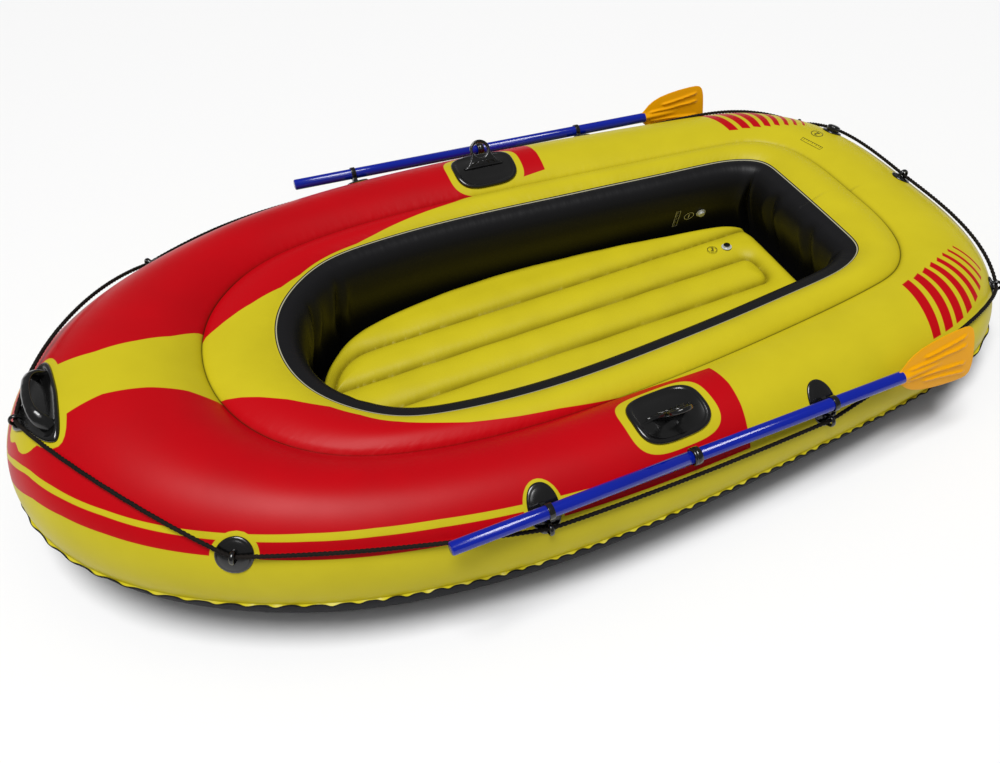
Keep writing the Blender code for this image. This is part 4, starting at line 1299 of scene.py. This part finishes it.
@dataclass
class Mattress:
    """Air mattress floor with welded channels and a border tube round bow and sides."""

    side_inset: float = 0.024
    end_inset: float = 0.058
    side_height: float = 0.036
    seam_height: float = 0.046
    crown: float = 0.027
    rounding: float = 0.034
    channel: float = 0.047
    inner_y: float = 0.048
    outer_y: float = 0.145
    bow_seam_x: float = -0.452
    bow_turn_x: float = -0.34
    centre_end_x: float = 0.600
    turn_radius: float = 0.03
    waviness: float = 0.0015
    wave_scales: tuple = (14.0, 26.0)
    wave_fade: float = 0.02
    border_width: float = 0.02
    merge: float = 0.00005
    underside: float = 0.002
    rows: int = 260
    columns: int = 130

    @cached_property
    def outline(self) -> Array:
        """Starboard half of the plan, with x rising.

        Returns:
            Points.
        """
        where = np.linspace(0.0, 1.0, 600)
        cut = HULL.cut(where)
        blend = np.cos(math.pi * where) ** 2
        inset = self.side_inset + (self.end_inset - self.side_inset) * blend
        line = cut.edge - cut.edge_out * inset[:, None]
        return line[np.concatenate([[True], np.diff(np.maximum.accumulate(line[:, 0])) > 0.0])]

    @cached_property
    def seams(self) -> Array:
        """Points along the welded seams, both sides.

        Returns:
            Points.
        """
        x = np.linspace(self.bow_seam_x, self.bow_turn_x, 60)
        turn = quarter((x - self.bow_seam_x) / (self.bow_turn_x - self.bow_seam_x))
        long = np.linspace(self.bow_turn_x, self.outline[-1, 0], 300)
        inner_end = self.centre_end_x - self.turn_radius
        inner_x = np.linspace(self.bow_seam_x + 0.004, inner_end, 320)
        turns = np.linspace(0.0, math.pi / 2.0, 30)
        line = np.vstack([
            np.column_stack([x, self.outer_y * turn]),
            np.column_stack([long, np.minimum(self.outer_y,
                                              np.interp(long, *self.outline.T)
                                              - self.border_width)]),
            np.column_stack([inner_x, np.full(320, self.inner_y)]),
            np.column_stack([inner_end + self.turn_radius * np.sin(turns),
                             self.inner_y * np.cos(turns) ** 0.6])])
        return np.vstack([line, line * (1.0, -1.0)])

    def heights(self, x: Array, y: Array, half: Array) -> tuple[Array, Array]:
        """Height of the top at points, and their distance from the nearest seam.

        Args:
            x: Distances along the boat.
            y: Distances across it.
            half: Half width of the mattress at each point.

        Returns:
            Heights and distances.
        """
        points = np.column_stack([x.ravel(), y.ravel()])
        away = np.concatenate([
            np.sqrt(((part[:, None] - self.seams[None]) ** 2).sum(axis=-1).min(axis=1))
            for part in np.array_split(points, 9)]).reshape(x.shape)
        ends = np.minimum(x - self.outline[0, 0], self.outline[-1, 0] - x)
        depth = np.minimum(half - np.abs(y), ends)
        full = self.seam_height + self.crown * quarter(np.minimum(away / self.channel, 1.0))
        round_ = quarter(np.clip(depth / self.rounding, 0.0, 1.0))
        return self.side_height + (full - self.side_height) * round_, away

    def build(self) -> None:
        """Make the mattress."""
        start, end = self.outline[0, 0], self.outline[-1, 0]
        hold = self.rounding / 16.0
        t = np.linspace(0.0, math.pi, self.rows)
        x = start + (end - start) * (0.25 * (1.0 - np.cos(t)) / 2.0 + 0.75 * t / math.pi)
        half = np.interp(np.clip(x, start + hold, end - hold), *self.outline.T)[:, None]
        c = np.linspace(-1.0, 1.0, self.columns)
        y = half * (0.7 * c + 0.3 * np.sin(c * math.pi / 2.0))[None]
        x, half = np.broadcast_to(x[:, None], y.shape), np.broadcast_to(half, y.shape)
        z, away = self.heights(x, y, half)
        along, across = self.wave_scales
        wave = np.array([noise.noise(Vector((px * along, py * across, 3.0)))
                         for px, py in zip(x.ravel(), y.ravel())]).reshape(z.shape)
        z = z + self.waviness * wave * np.clip((z - self.side_height) / self.wave_fade, 0.0, 1.0)
        turn = np.clip((z - self.side_height) / (self.seam_height - self.side_height), 0.0, 1.0)
        low = self.side_height - (self.side_height - self.underside) * turn
        top, under = np.stack([x, y, z], axis=-1), np.stack([x, y, low], axis=-1)
        mesh = grid_mesh(np.concatenate([top, under[:, ::-1]], axis=1), ring=True, values={
            "away": np.concatenate([away, np.full(away.shape, 1.0)], axis=1),
            "run_length": np.concatenate([x, x], axis=1)})
        with editing(mesh) as work:
            bmesh.ops.remove_doubles(work, verts=work.verts, dist=self.merge)
        piece = show("mattress", capped(mesh), FLOOR, "floor_mattress")


# Fittings

RIMMED = ((0.97, -0.0005), (1.0, 0.0002), (1.0, 0.0026), (0.985, 0.0050), (0.955, 0.0066),
          (0.915, 0.0070), (0.875, 0.0062), (0.845, 0.0044), (0.82, 0.0034), (0.6, 0.0030),
          (0.35, 0.0030), (0.12, 0.0030))
DOMED = ((0.97, -0.0005), (1.0, 0.0002), (1.0, 0.0014), (0.96, 0.0028), (0.88, 0.0036),
         (0.82, 0.0034), (0.78, 0.0040), (0.55, 0.0050), (0.3, 0.0054), (0.1, 0.0055))


@dataclass(frozen=True)
class Pad:
    """Moulded pad laid on the outer tube.

    Power is 2 for an ellipse and more for a rounded rectangle. The profile gives shares of the
    size and heights, from the rim to the middle. The lobe is how much further the pad reaches
    down in its middle, as a share.
    """

    half_along: float
    half_down: float
    power: float = 2.0
    profile: tuple = DOMED
    lobe: float = 0.0
    lobe_width: float = 1.0
    steps: int = 120

    def add(self, name: str, node: str, where: float, angle: float) -> None:
        """Lay the pad at a place.

        Args:
            name: Name of the piece.
            node: Node that it stands for.
            where: Position round the hull.
            angle: Angle round the tube.
        """
        turns = circle(self.steps)
        x, y = np.cos(turns), np.sin(turns)
        reach = 1.0 / (np.abs(x) ** self.power + np.abs(y) ** self.power) ** (1.0 / self.power)
        rows = []
        for share, height in self.profile:
            along, down = x * reach * self.half_along * share, y * reach * self.half_down * share
            down = down + np.clip(down, 0.0, None) * self.lobe * bell(along, self.lobe_width)
            rows.append(np.column_stack([along, down, np.full(self.steps, height)]))
        grid = HULL.drape(where, angle, np.array(rows))
        show(name, capped(grid_mesh(grid, ring=True)), PLASTIC, node)


def add_eye(name: str, where: float, angle: float, reach: float = 0.0100, foot: float = -0.008
            ) -> None:
    """Arched eye over the rope.

    Args:
        name: Name of the fitting that it belongs to.
        where: Position round the hull.
        angle: Angle round the tube.
        reach: Radius of the arch.
        foot: Height of its two feet.
    """
    arch = [(-reach, foot), *arc(reach, np.linspace(math.pi, 0.0, 15)), (reach, foot)]
    mesh = tube_mesh(np.array([(0.0, *point) for point in arch]), EYE_WIRE, 14)
    for vertex in mesh.vertices:
        vertex.co.x *= EYE_WIDENING
    show(f"{name}_eye", moved(mesh, HULL.frame_at(where, angle, ROPE_HEIGHT)), PLASTIC)


@dataclass
class RopeHolders:
    """Round pads with an arched eye that the rope runs through."""

    bow_place: float = 0.145
    bow_angle: float = math.radians(35.0)
    bow_pad: Pad = Pad(0.0335, 0.0335)
    stern_place: float = 0.873
    stern_angle: float = math.radians(20.0)
    stern_pad: Pad = Pad(0.022, 0.022)
    centre_angle: float = math.radians(54.0)

    def build(self) -> None:
        """Make all five."""
        rows = []
        for side in Side:
            rows += [(f"{side.word}_bow", side.value * self.bow_place, self.bow_angle,
                      self.bow_pad),
                     (f"{side.word}_stern", side.value * self.stern_place, self.stern_angle,
                      self.stern_pad)]
        for word, where, angle, pad in (*rows, ("stern_centre", 1.0, self.centre_angle,
                                                self.stern_pad)):
            name = f"rope_holder_{word}"
            pad.add(f"{name}_pad", name, where, angle)
            add_eye(name, where, angle)


@dataclass
class OarHolders:
    """Oval pads that hold the oars with a strap; places and angles are fore and aft."""

    places: tuple = (0.350, 0.645)
    angles: tuple = ((math.radians(42.0), math.radians(38.0)),
                     (math.radians(39.0), math.radians(28.0)))
    pad: Pad = Pad(0.029, 0.047, 2.2)
    stand: float = 0.030
    rope_drop: float = 0.034
    width: float = 0.011
    wall: float = 0.0026
    gap: float = 0.0003
    opening: float = 0.60
    foot_height: float = 0.002
    foot_halves: tuple = (0.0085, 0.010, 0.016)
    rounding: float = 0.0009

    def centre(self, side: Side, end: int) -> Vector:
        """Middle of the shaft over a holder."""
        return HULL.frame_at(side.value * self.places[end], side.of(self.angles)[end],
                             self.stand).translation

    def direction(self, side: Side) -> Vector:
        """Unit vector along an oar, from its grip to its blade."""
        return (self.centre(side, 1) - self.centre(side, 0)).normalized()

    def strap(self) -> list[Points]:
        """Strap round the shaft on a flared foot, in the plane across the shaft.

        Returns:
            The outer outline and the hole.
        """
        inner = SHAFT_RADIUS + self.gap
        outer = inner + self.wall
        turns = np.linspace(self.opening - math.pi / 2.0, 1.5 * math.pi - self.opening, 50)
        base = self.foot_height - self.stand
        top, middle, low = self.foot_halves
        left = [(-top, -outer + 0.001), (-middle, base + 0.005), (-low, base)]
        right = [(-x, y) for x, y in reversed(left)]
        return [arc(outer, turns) + left + right, arc(inner, circle(48))]

    def build(self) -> None:
        """Make all four."""
        for side in Side:
            for end, word in enumerate(("fore", "aft")):
                name = f"oar_holder_{side.word}_{word}"
                where, angle = side.value * self.places[end], side.of(self.angles)[end]
                self.pad.add(f"{name}_pad", name, where, angle)
                along = self.direction(side)
                out = HULL.frame_at(where, angle).col[2].to_3d()
                out = (out - along * out.dot(along)).normalized()
                home = axes_at(out.cross(along), out, along, self.centre(side, end))
                clip = plate_mesh(self.strap(), self.width, self.rounding)
                show(f"{name}_clip", moved(clip, home), PLASTIC)
                add_eye(name, *HULL.shifted(where, angle, 0.0, self.rope_drop))


@dataclass
class Oars:
    """Two oars with blue tubes, black collars and ribbed blades; pairs are port first.

    The outline gives shares of the blade's length and half width. A rib is where it starts, as a
    share of the length, and how far out it runs, as a share of the half width.
    """

    grips_to_clips: tuple = (0.182, 0.144)
    tilts: tuple = (math.radians(72.0), math.radians(75.0))
    grip_half: float = 0.465
    blade_half: float = 0.447
    neck_seat: float = 0.030
    collar_radius: float = 0.0168
    collar_length: float = 0.016
    blade_length: float = 0.210
    half_width: float = 0.057
    half_plate: float = 0.0017
    spine_height: float = 0.0102
    spine_end: float = 0.62
    rib_height: float = 0.0040
    rib_width: float = 0.0030
    rib_end: float = 0.92
    rib_fade: float = 0.05
    plate_power: float = 0.35
    spine_power: float = 0.8
    spine_width: float = 0.0045
    under_share: float = 0.95
    ribs: tuple = ((0.20, 0.30), (0.38, 0.62))
    dish: float = -0.0035
    steps: int = 64
    outline: tuple = ((0.0, 0.18), (0.11, 0.20), (0.15, 0.32), (0.21, 0.52), (0.28, 0.67),
                      (0.38, 0.80), (0.50, 0.89), (0.65, 0.96), (0.80, 1.0), (0.90, 1.0),
                      (0.95, 0.96), (0.98, 0.86), (0.993, 0.74), (1.0, 0.55))

    def frame_of(self, side: Side) -> Matrix:
        """Axes of an oar: Z from the grip end to the blade, X across the blade.

        Args:
            side: The oar's side.

        Returns:
            The matrix.
        """
        holders = OarHolders()
        along = holders.direction(side)
        start = holders.centre(side, 0) - along * side.of(self.grips_to_clips)
        across = Vector((0.0, 1.0, 0.0))
        across = (across - along * across.dot(along)).normalized()
        return axes_at(across, along.cross(across), along, start)

    def blade(self) -> Mesh:
        """Blade lofted from its round neck to its flat, ribbed end.

        Returns:
            The mesh, on the oar's axes.
        """
        turns = np.linspace(0.0, math.pi, 70)
        plate = self.half_plate * np.clip(np.sin(turns), 0.0, None) ** self.plate_power
        rows = []
        for way in np.concatenate([np.linspace(0.0, 0.9, 60), np.linspace(0.91, 1.0, 24)]):
            x = np.cos(turns) * (self.half_width * table(way, self.outline))
            left = np.clip(1.0 - way / self.spine_end, 0.0, 1.0)
            spine = (self.spine_height * left ** self.spine_power
                     * bell(x, self.spine_width + self.spine_width * left))
            raised = np.zeros(len(turns))
            for first, share in self.ribs:
                shown = (np.clip((way - first) / self.rib_fade, 0.0, 1.0)
                         * np.clip((self.rib_end - way) / self.rib_fade, 0.0, 1.0))
                centre = share * self.half_width * (0.62 + 0.62 * way * way)
                raised += self.rib_height * shown * bell(np.abs(x) - centre, self.rib_width)
            dish = self.dish * (x / self.half_width) ** 2
            z = np.full(len(turns), self.grip_half + self.blade_half + self.blade_length * way)
            upper = np.column_stack([x, dish + plate + spine + raised, z])
            lower = np.column_stack([x, dish - plate - spine * self.under_share, z])[::-1][1:-1]
            rows.append(np.vstack([upper, lower]))
        return capped(grid_mesh(np.array(rows), ring=True))

    def build(self) -> None:
        """Make both."""
        joint, end = self.grip_half, self.grip_half + self.blade_half + self.neck_seat
        r, c = SHAFT_RADIUS, self.collar_radius
        base = joint + 0.0003
        top = base + self.collar_length
        grip = ((0.0, 0.0), (r - 0.002, 0.0), (r, 0.002), (r, joint - 0.001),
                (r - 0.0006, joint - 0.0004), (0.0, joint - 0.0003))
        shaft = ((0.0, joint), (r - 0.0006, joint), (r, joint + 0.0006), (r, end), (0.0, end))
        ring = ((r + 0.0002, base), (c - 0.0015, base), (c, base + 0.0015), (c, base + 0.0045),
                (c - 0.0008, base + 0.0055), (c, base + 0.0065), (c, top - 0.0015),
                (c - 0.0015, top), (r + 0.0002, top))
        for side in Side:
            home, oar = self.frame_of(side), f"oar_{side.word}"
            for piece, profile, finish, node, body in (
                    ("grip", grip, BLUE, "grip_half", f"{oar}_grip"),
                    ("shaft", shaft, BLUE, "blade_half", oar),
                    ("ring", ring, PLASTIC, "collar", oar)):
                show(f"{oar}_{piece}", moved(lathe_mesh(profile, self.steps), home), finish,
                     f"{oar}_{node}", body=body)
            tilt = Matrix.Rotation(side.of(self.tilts), 4, "Z")
            show(f"{oar}_paddle", moved(self.blade(), home @ tilt), ORANGE, f"{oar}_blade",
                 body=oar)


@dataclass
class Oarlocks:
    """Rubber oarlocks on rounded pads, their rings leaning outboard; pairs are port first."""

    place: float = 0.493
    angles: tuple = (math.radians(84.0), math.radians(98.0))
    leans: tuple = (math.radians(37.0), math.radians(50.0))
    pad: Pad = Pad(0.076, 0.057, 3.2, RIMMED)
    hole: float = 0.018
    band: float = 0.007
    height: float = 0.042
    thickness: float = 0.009
    base_half: float = 0.050
    foot: float = 0.0052
    flare_lean: float = math.radians(20.0)
    flare_power: float = 2.2
    rounding: float = 0.0030
    rib_radius: float = 0.0018
    rib_places: tuple = (-0.030, -0.015, 0.0, 0.015, 0.030)

    def outline(self) -> list[Points]:
        """Ring on its flared web, with the hole.

        Returns:
            The outer outline and the hole.
        """
        outer, lean = self.hole + self.band, self.flare_lean
        flare = []
        for t in np.arange(12) / 12.0:
            x = self.base_half + (outer * math.cos(lean) - self.base_half) * t
            rise = self.height - outer * math.sin(lean) - self.foot
            flare.append((x, self.foot + rise * t ** self.flare_power))
        top = arc(outer, np.linspace(-lean, math.pi + lean, 41), self.height)
        return [flare + top + [(-x, y) for x, y in reversed(flare)],
                arc(self.hole, circle(48), self.height)]

    def build(self) -> None:
        """Make both."""
        for side in Side:
            name = f"oarlock_{side.word}"
            where, angle = side.value * self.place, side.of(self.angles)
            self.pad.add(f"{name}_pad", name, where, angle)
            spin = Matrix.Rotation(math.pi / 2.0 - side.of(self.leans), 4, "X")
            upright = HULL.frame_at(where, angle) @ spin
            ring = plate_mesh(self.outline(), self.thickness, self.rounding)
            show(f"{name}_ring", moved(ring, upright), PLASTIC)
            high = self.height - self.hole - self.band - 0.001
            for i, x in enumerate(self.rib_places):
                path = np.array([(x, self.foot - 0.001, 0.0), (x * 0.9, self.foot + 0.008, 0.006),
                                 (x * 0.55, high, 0.0045)])
                rib = tube_mesh(path, self.rib_radius, 10)
                show(f"{name}_rib_{i}", moved(rib, upright), PLASTIC)


@dataclass
class BowHandle:
    """Almond pad with a lobe below, a raised grip bar and an eye for the rope."""

    angle: float = math.radians(59.0)
    pad: Pad = Pad(0.108, 0.038, 1.7, RIMMED, 1.0, 0.030)
    eye_drop: float = 0.055
    grip_half: float = 0.070
    rise: float = 0.034
    half_wide: float = 0.0082
    half_thick: float = 0.0048
    offset: float = -0.004
    sink: float = 0.001
    wider: float = 0.9
    thicker: float = 0.8
    shares: tuple = ((-1.0, 0.0), (-0.93, 0.34), (-0.86, 0.60), (-0.74, 0.80), (-0.58, 0.91),
                     (-0.3, 0.98), (0.0, 1.0), (0.3, 0.98), (0.58, 0.91), (0.74, 0.80),
                     (0.86, 0.60), (0.93, 0.34), (1.0, 0.0))

    def bar(self) -> Mesh:
        """Flat grip bar whose ends widen into the pad.

        Returns:
            The mesh, in the boat's frame.
        """
        fine = np.linspace(-1.0, 1.0, 81)
        height = self.sink + self.rise * table(fine, self.shares)
        line = np.column_stack([fine * self.grip_half, height])
        run = unit(np.gradient(line, axis=0))
        turns = circle(24)
        wide = self.half_wide * (1.0 + self.wider * np.abs(fine) ** 4)
        thick = self.half_thick * (1.0 + self.thicker * np.abs(fine) ** 4)
        rise = np.sin(turns)[None] * thick[:, None]
        grid = np.stack([line[:, 0, None] - run[:, 1, None] * rise,
                         self.offset + np.cos(turns)[None] * wide[:, None],
                         line[:, 1, None] + run[:, 0, None] * rise], axis=-1)
        return capped(grid_mesh(HULL.drape(0.0, self.angle, grid), ring=True))

    def build(self) -> None:
        """Make the handle."""
        self.pad.add("bow_handle_pad", "bow_handle", 0.0, self.angle)
        show("bow_handle_bar", self.bar(), PLASTIC)
        add_eye("bow_handle", *HULL.shifted(0.0, self.angle, 0.0, self.eye_drop))


@dataclass
class GrabRope:
    """Twisted cord through all the eyes, pulled tight over the hull."""

    radius: float = 0.0042
    coarse: float = 0.045
    fine: float = 0.0026
    passes: int = 100
    softening: int = 8
    sides: int = 15
    lobes: float = 0.42
    lay: float = 0.026

    def stops(self) -> list[tuple[float, float]]:
        """Places that the rope runs through, from the stern round port and starboard.

        Returns:
            Positions and angles.
        """
        rows = []
        for side in Side:
            line = [(side.value * 1.0, RopeHolders.centre_angle),
                    (side.value * RopeHolders.stern_place, RopeHolders.stern_angle)]
            for end in (1, 0):
                line.append(HULL.shifted(side.value * OarHolders.places[end],
                                         side.of(OarHolders.angles)[end], 0.0,
                                         OarHolders.rope_drop))
            line.append((side.value * RopeHolders.bow_place, RopeHolders.bow_angle))
            rows += line if side is Side.PORT else line[::-1]
        rows.insert(len(rows) // 2, HULL.shifted(0.0, BowHandle.angle, 0.0, BowHandle.eye_drop))
        return rows

    def laid(self, places: Array) -> Array:
        """Points of the rope on the hull."""
        height = np.full(len(places), ROPE_HEIGHT)
        return HULL.tube(HULL.cut(places[:, 0]), places[:, 1], height)

    def taut(self, places: Array, held: Array) -> Array:
        """Pull the rope straight between the places where it is held.

        Args:
            places: Positions and angles along the rope.
            held: Which of them stay.

        Returns:
            The places of the tight rope.
        """
        step, free = HULL.step, ~held[1:-1, None]
        for _ in range(self.passes):
            points = self.laid(places)
            rates = np.stack([(self.laid(places + change) - points)[1:-1] / step
                              for change in ((step, 0.0), (0.0, step))], axis=1)
            pull = (points[:-2] + points[2:]) / 2.0 - points[1:-1]
            system = rates @ rates.transpose(0, 2, 1)
            places[1:-1] += np.linalg.solve(system, rates @ pull[:, :, None])[:, :, 0] * free
        return places

    def path(self) -> Array:
        """Closely spaced points of the tight rope.

        Returns:
            Points.
        """
        stops = np.array(self.stops())
        gaps = np.linalg.norm(np.diff(self.laid(stops), axis=0), axis=1)
        rows, held = [], []
        for first, second, gap in zip(stops[:-1], stops[1:], gaps):
            count = max(2, round(gap / self.coarse))
            rows.append(first + (second - first) * (np.arange(count) / count)[:, None])
            held += [True] + [False] * (count - 1)
        places = self.taut(np.vstack([*rows, stops[-1:]]), np.array(held + [True]))
        reach = reach_along(self.laid(places))
        even = np.arange(round(reach[-1] / self.fine)) * self.fine
        drawn = np.column_stack([np.interp(even, reach, places[:, i]) for i in (0, 1)])
        curve = self.laid(drawn)
        for _ in range(self.softening):
            curve = (np.roll(curve, 1, axis=0) + 2.0 * curve + np.roll(curve, -1, axis=0)) / 4.0
        return curve

    def build(self) -> None:
        """Make the rope."""
        mesh = tube_mesh(self.path(), self.radius, self.sides, True, self.lobes, self.lay)
        show("rope", mesh, ROPE, "grab_rope")


@dataclass
class Valves:
    """Air valves of the outer tube, the inner tube and the floor, with their marks.

    Profiles are rows of radius and height; the cap's rows also say how deep its ribs are there.
    A number is the size of its ring with its distance forward of the valve (1), its place (2)
    or its way from the valve and its turn (3).
    """

    place: float = 0.902
    angle: float = math.radians(54.0)
    flange: Pad = Pad(0.024, 0.024)
    neck: float = 0.0125
    neck_height: float = 0.013
    wall_place: float = 0.780
    wall_share: float = 0.52
    ribs: float = 24.0
    rib_depth: float = 0.0007
    seat: float = 0.0006
    ink_lift: float = 0.0007
    number_1: tuple = (0.026, 0.020)
    gauge_1_back: float = 0.040
    wall_lift: float = 0.0012
    number_2: tuple = (0.030, 0.8996, math.radians(79.5))
    gauge_2: tuple = (0.9068, math.radians(97.0))
    number_3: tuple = (0.024, -0.038, 0.004, 0.0022, -0.5)
    cap: tuple = ((0.0160, 0.0040, 1.0), (0.0163, 0.0046, 1.0), (0.0163, 0.0130, 1.0),
                  (0.0155, 0.0145, 0.6), (0.0135, 0.0160, 0.0), (0.0095, 0.0174, 0.0),
                  (0.0040, 0.0180, 0.0), (0.0, 0.0180, 0.0))
    boss: tuple = ((0.0, 0.0018), (0.0054, 0.0018), (0.0055, 0.0048), (0.0060, 0.0052),
                   (0.0080, 0.0052), (0.0086, 0.0046), (0.0087, 0.0022), (0.0095, 0.0016),
                   (0.0122, 0.0012), (0.0125, 0.0004), (0.0124, 0.0), (0.0, 0.0))
    stopper: tuple = ((0.0, 0.0020), (0.0050, 0.0020), (0.0051, 0.0053), (0.0078, 0.0053),
                      (0.0080, 0.0060), (0.0076, 0.0070), (0.0050, 0.0074), (0.0, 0.0072))

    def screw(self) -> None:
        """Screw valve of the outer tube: flange, neck and ribbed cap with a domed top."""
        home, turns = HULL.frame_at(self.place, self.angle), circle(96)
        self.flange.add("valve_2_flange", "valve_2_body", self.place, self.angle)
        neck = lathe_mesh(((0.0, 0.002), (self.neck, 0.002), (self.neck, self.neck_height),
                           (0.0, self.neck_height)))
        show("valve_2_neck", moved(neck, home), PLASTIC)
        valley = 0.5 - 0.5 * np.cos(turns * self.ribs)
        rows = [ring_row(turns, radius - self.rib_depth * ribbed * valley, height)
                for radius, height, ribbed in self.cap]
        show("valve_2_screw_cap", moved(capped(grid_mesh(np.array(rows), ring=True)), home),
             PLASTIC, "valve_2_cap", body="valve_2_cap")

    def small(self, name: str, home: Matrix, plug: Finish) -> None:
        """Small valve: a flanged boss and its plug.

        Args:
            name: Name of the valve.
            home: Its axes.
            plug: Finish of the plug.
        """
        show(f"{name}_boss", moved(lathe_mesh(self.boss), home), CLEAR, f"{name}_body")
        show(f"{name}_stopper", moved(lathe_mesh(self.stopper), home), plug, f"{name}_plug",
             body=f"{name}_plug")

    def wall_frame(self, where: float) -> Matrix:
        """Axes on the starboard cockpit wall, X towards the stern and Z into the cockpit.

        Args:
            where: Position round the hull.

        Returns:
            The matrix.
        """
        step, share = 0.0005, self.wall_share

        def point(place: float, way: float) -> Vector:
            """One point of the wall."""
            return Vector(HULL.wall(HULL.cut(place), way)[0])

        along = point(where + step, share) - point(where - step, share)
        down = point(where, share + step) - point(where, share - step)
        z_axis, x_axis = down.cross(along).normalized(), along.normalized()
        return axes_at(x_axis, z_axis.cross(x_axis), z_axis, point(where, share) + z_axis * 0.0003)

    def gauge(self) -> Mesh:
        """Plain gauge strip: a thin outline with ticks.

        Returns:
            The mesh, lying in XY and facing +Z.
        """
        bars = [(-0.030, -0.0060, 0.030, -0.0052), (-0.030, 0.0052, 0.030, 0.0060),
                (-0.030, -0.0052, -0.0292, 0.0052), (0.0292, -0.0052, 0.030, 0.0052)]
        for i in range(9):
            x = -0.024 + 0.006 * i
            bars.append((x - 0.0004, -0.0052, x + 0.0004, -0.0015 if i % 2 else 0.0015))
        mesh = bpy.data.meshes.new("gauge")
        with editing(mesh) as work:
            for x0, y0, x1, y1 in bars:
                work.faces.new([work.verts.new((x, y, 0.0)) for x, y in
                                ((x0, y0), (x1, y0), (x1, y1), (x0, y1))])
        return faced(mesh)

    def lay(self, name: str, mesh: Mesh, where: float, angle: float) -> None:
        """Lay a flat mark on the outer tube, its top towards the cockpit.

        Args:
            name: Name of the piece.
            mesh: The mark.
            where: Position round the hull.
            angle: Angle round the tube.
        """
        flat = np.array([(-v.co.x, -v.co.y, self.ink_lift) for v in mesh.vertices])
        for vertex, point in zip(mesh.vertices, HULL.drape(where, angle, flat)):
            vertex.co = point
        show(name, faced(mesh, HULL.frame_at(where, angle).col[2].to_3d()), INK)

    def build(self) -> None:
        """Make the three valves and their printed marks."""
        self.screw()
        self.small("valve_1", self.wall_frame(self.wall_place), CLEAR)
        low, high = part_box("valve_3_body")
        x, y = (low.x + high.x) / 2.0, (low.y + high.y) / 2.0
        self.small("valve_3", Matrix.Translation((x, y, low.z - self.seat)), PLASTIC)
        size, *place = self.number_2
        self.lay("number_2", label_mesh("2", size), *place)
        self.lay("gauge_2", self.gauge(), *self.gauge_2)
        lift, (size, ahead) = Matrix.Translation((0.0, 0.0, self.wall_lift)), self.number_1
        for name, mesh, back, turn in (
                ("number_1", label_mesh("1", size), ahead, 0.0),
                ("gauge_1", self.gauge(), self.gauge_1_back, math.pi / 2.0)):
            home = self.wall_frame(self.wall_place - back) @ lift
            show(name, moved(mesh, home @ Matrix.Rotation(math.pi + turn, 4, "Z")), WHITE_INK)
        size, along, across, up, turn = self.number_3
        flat = Matrix.Translation((x + along, y + across, low.z + up))
        flat = flat @ Matrix.Rotation(turn, 4, "Z")
        show("number_3", moved(label_mesh("3", size), flat), INK)


# Studio


@dataclass
class Studio:
    """Pale floor, soft lights and the camera at the photograph's view.

    A light is its name, kind, place (for a sun, where it comes from), size or angle, and power.
    """

    focal_px: float = 995.0
    width_px: float = 1000.0
    sensor: float = 36.0
    pitch: float = math.radians(46.056)
    heading: float = math.radians(20.278)
    roll: float = math.radians(-4.0)
    eye: tuple = (-0.627, -1.477, 1.610)
    aim: tuple = (0.0, 0.0, 0.1)
    lights: tuple = (("key", Lamp.SUN, (-0.40, -0.30, 3.0), math.radians(28.0), 2.75),
                     ("fill", Lamp.AREA, (-1.2, -1.8, 3.6), 1.8, 22.0))
    world_light: float = 0.20
    floor_half: float = 30.0
    floor_drop: float = -0.0006
    floor_tone: float = 0.86

    def camera(self) -> None:
        """Camera at the photograph's place."""
        h, p, r = self.heading, self.pitch, self.roll
        ahead = Vector((math.sin(h) * math.cos(p), math.cos(h) * math.cos(p), -math.sin(p)))
        right = Vector((math.cos(h), -math.sin(h), 0.0))
        up = right.cross(ahead)
        lens = bpy.data.cameras.new("photo_camera")
        lens.sensor_width = self.sensor
        lens.lens = self.sensor * self.focal_px / self.width_px
        holder = added("photo_camera", lens)
        holder.matrix_world = axes_at(right * math.cos(r) + up * math.sin(r),
                                      up * math.cos(r) - right * math.sin(r), -ahead,
                                      Vector(self.eye))
        bpy.context.scene.camera = holder

    def shine(self) -> None:
        """Lights that face the boat, and the even light of the world."""
        for name, kind, place, size, power in self.lights:
            lamp = bpy.data.lights.new(name, kind.name)
            lamp.energy = power
            setattr(lamp, kind.value, size)
            holder = added(name, lamp)
            holder.location = place
            ahead = Vector(self.aim) - Vector(place)
            holder.rotation_euler = ahead.to_track_quat("-Z", "Y").to_euler()
        world = bpy.data.worlds.new("studio")
        world.use_nodes = True
        sky = world.node_tree.nodes["Background"].inputs
        sky["Color"].default_value = (1.0, 1.0, 1.0, 1.0)
        sky["Strength"].default_value = self.world_light
        bpy.context.scene.world = world

    def floor(self) -> None:
        """Plain pale floor."""
        ends = (-self.floor_half, self.floor_half)
        mesh = faced(grid_mesh(np.array([[(x, y, self.floor_drop) for x in ends] for y in ends])))
        tone = bpy.data.materials.new("studio_floor")
        tone.use_nodes = True
        shader = tone.node_tree.nodes["Principled BSDF"].inputs
        shader["Base Color"].default_value = (*(self.floor_tone,) * 3, 1.0)
        shader["Roughness"].default_value = 0.9
        mesh.materials.append(tone)
        added("studio_floor", mesh)

    def build(self) -> None:
        """Set up the studio."""
        self.camera()
        self.floor()
        self.shine()
        bpy.context.scene.view_settings.view_transform = "Standard"


def main() -> None:
    """Build the boat's looks."""
    logging.basicConfig(level=logging.INFO, format="%(name)s %(message)s")
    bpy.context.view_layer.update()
    Studio().build()
    for part in (Chambers, Mattress, RopeHolders, OarHolders, Oars, Oarlocks, BowHandle, GrabRope,
                 Valves):
        part().build()


if __name__ == "__main__":
    main()
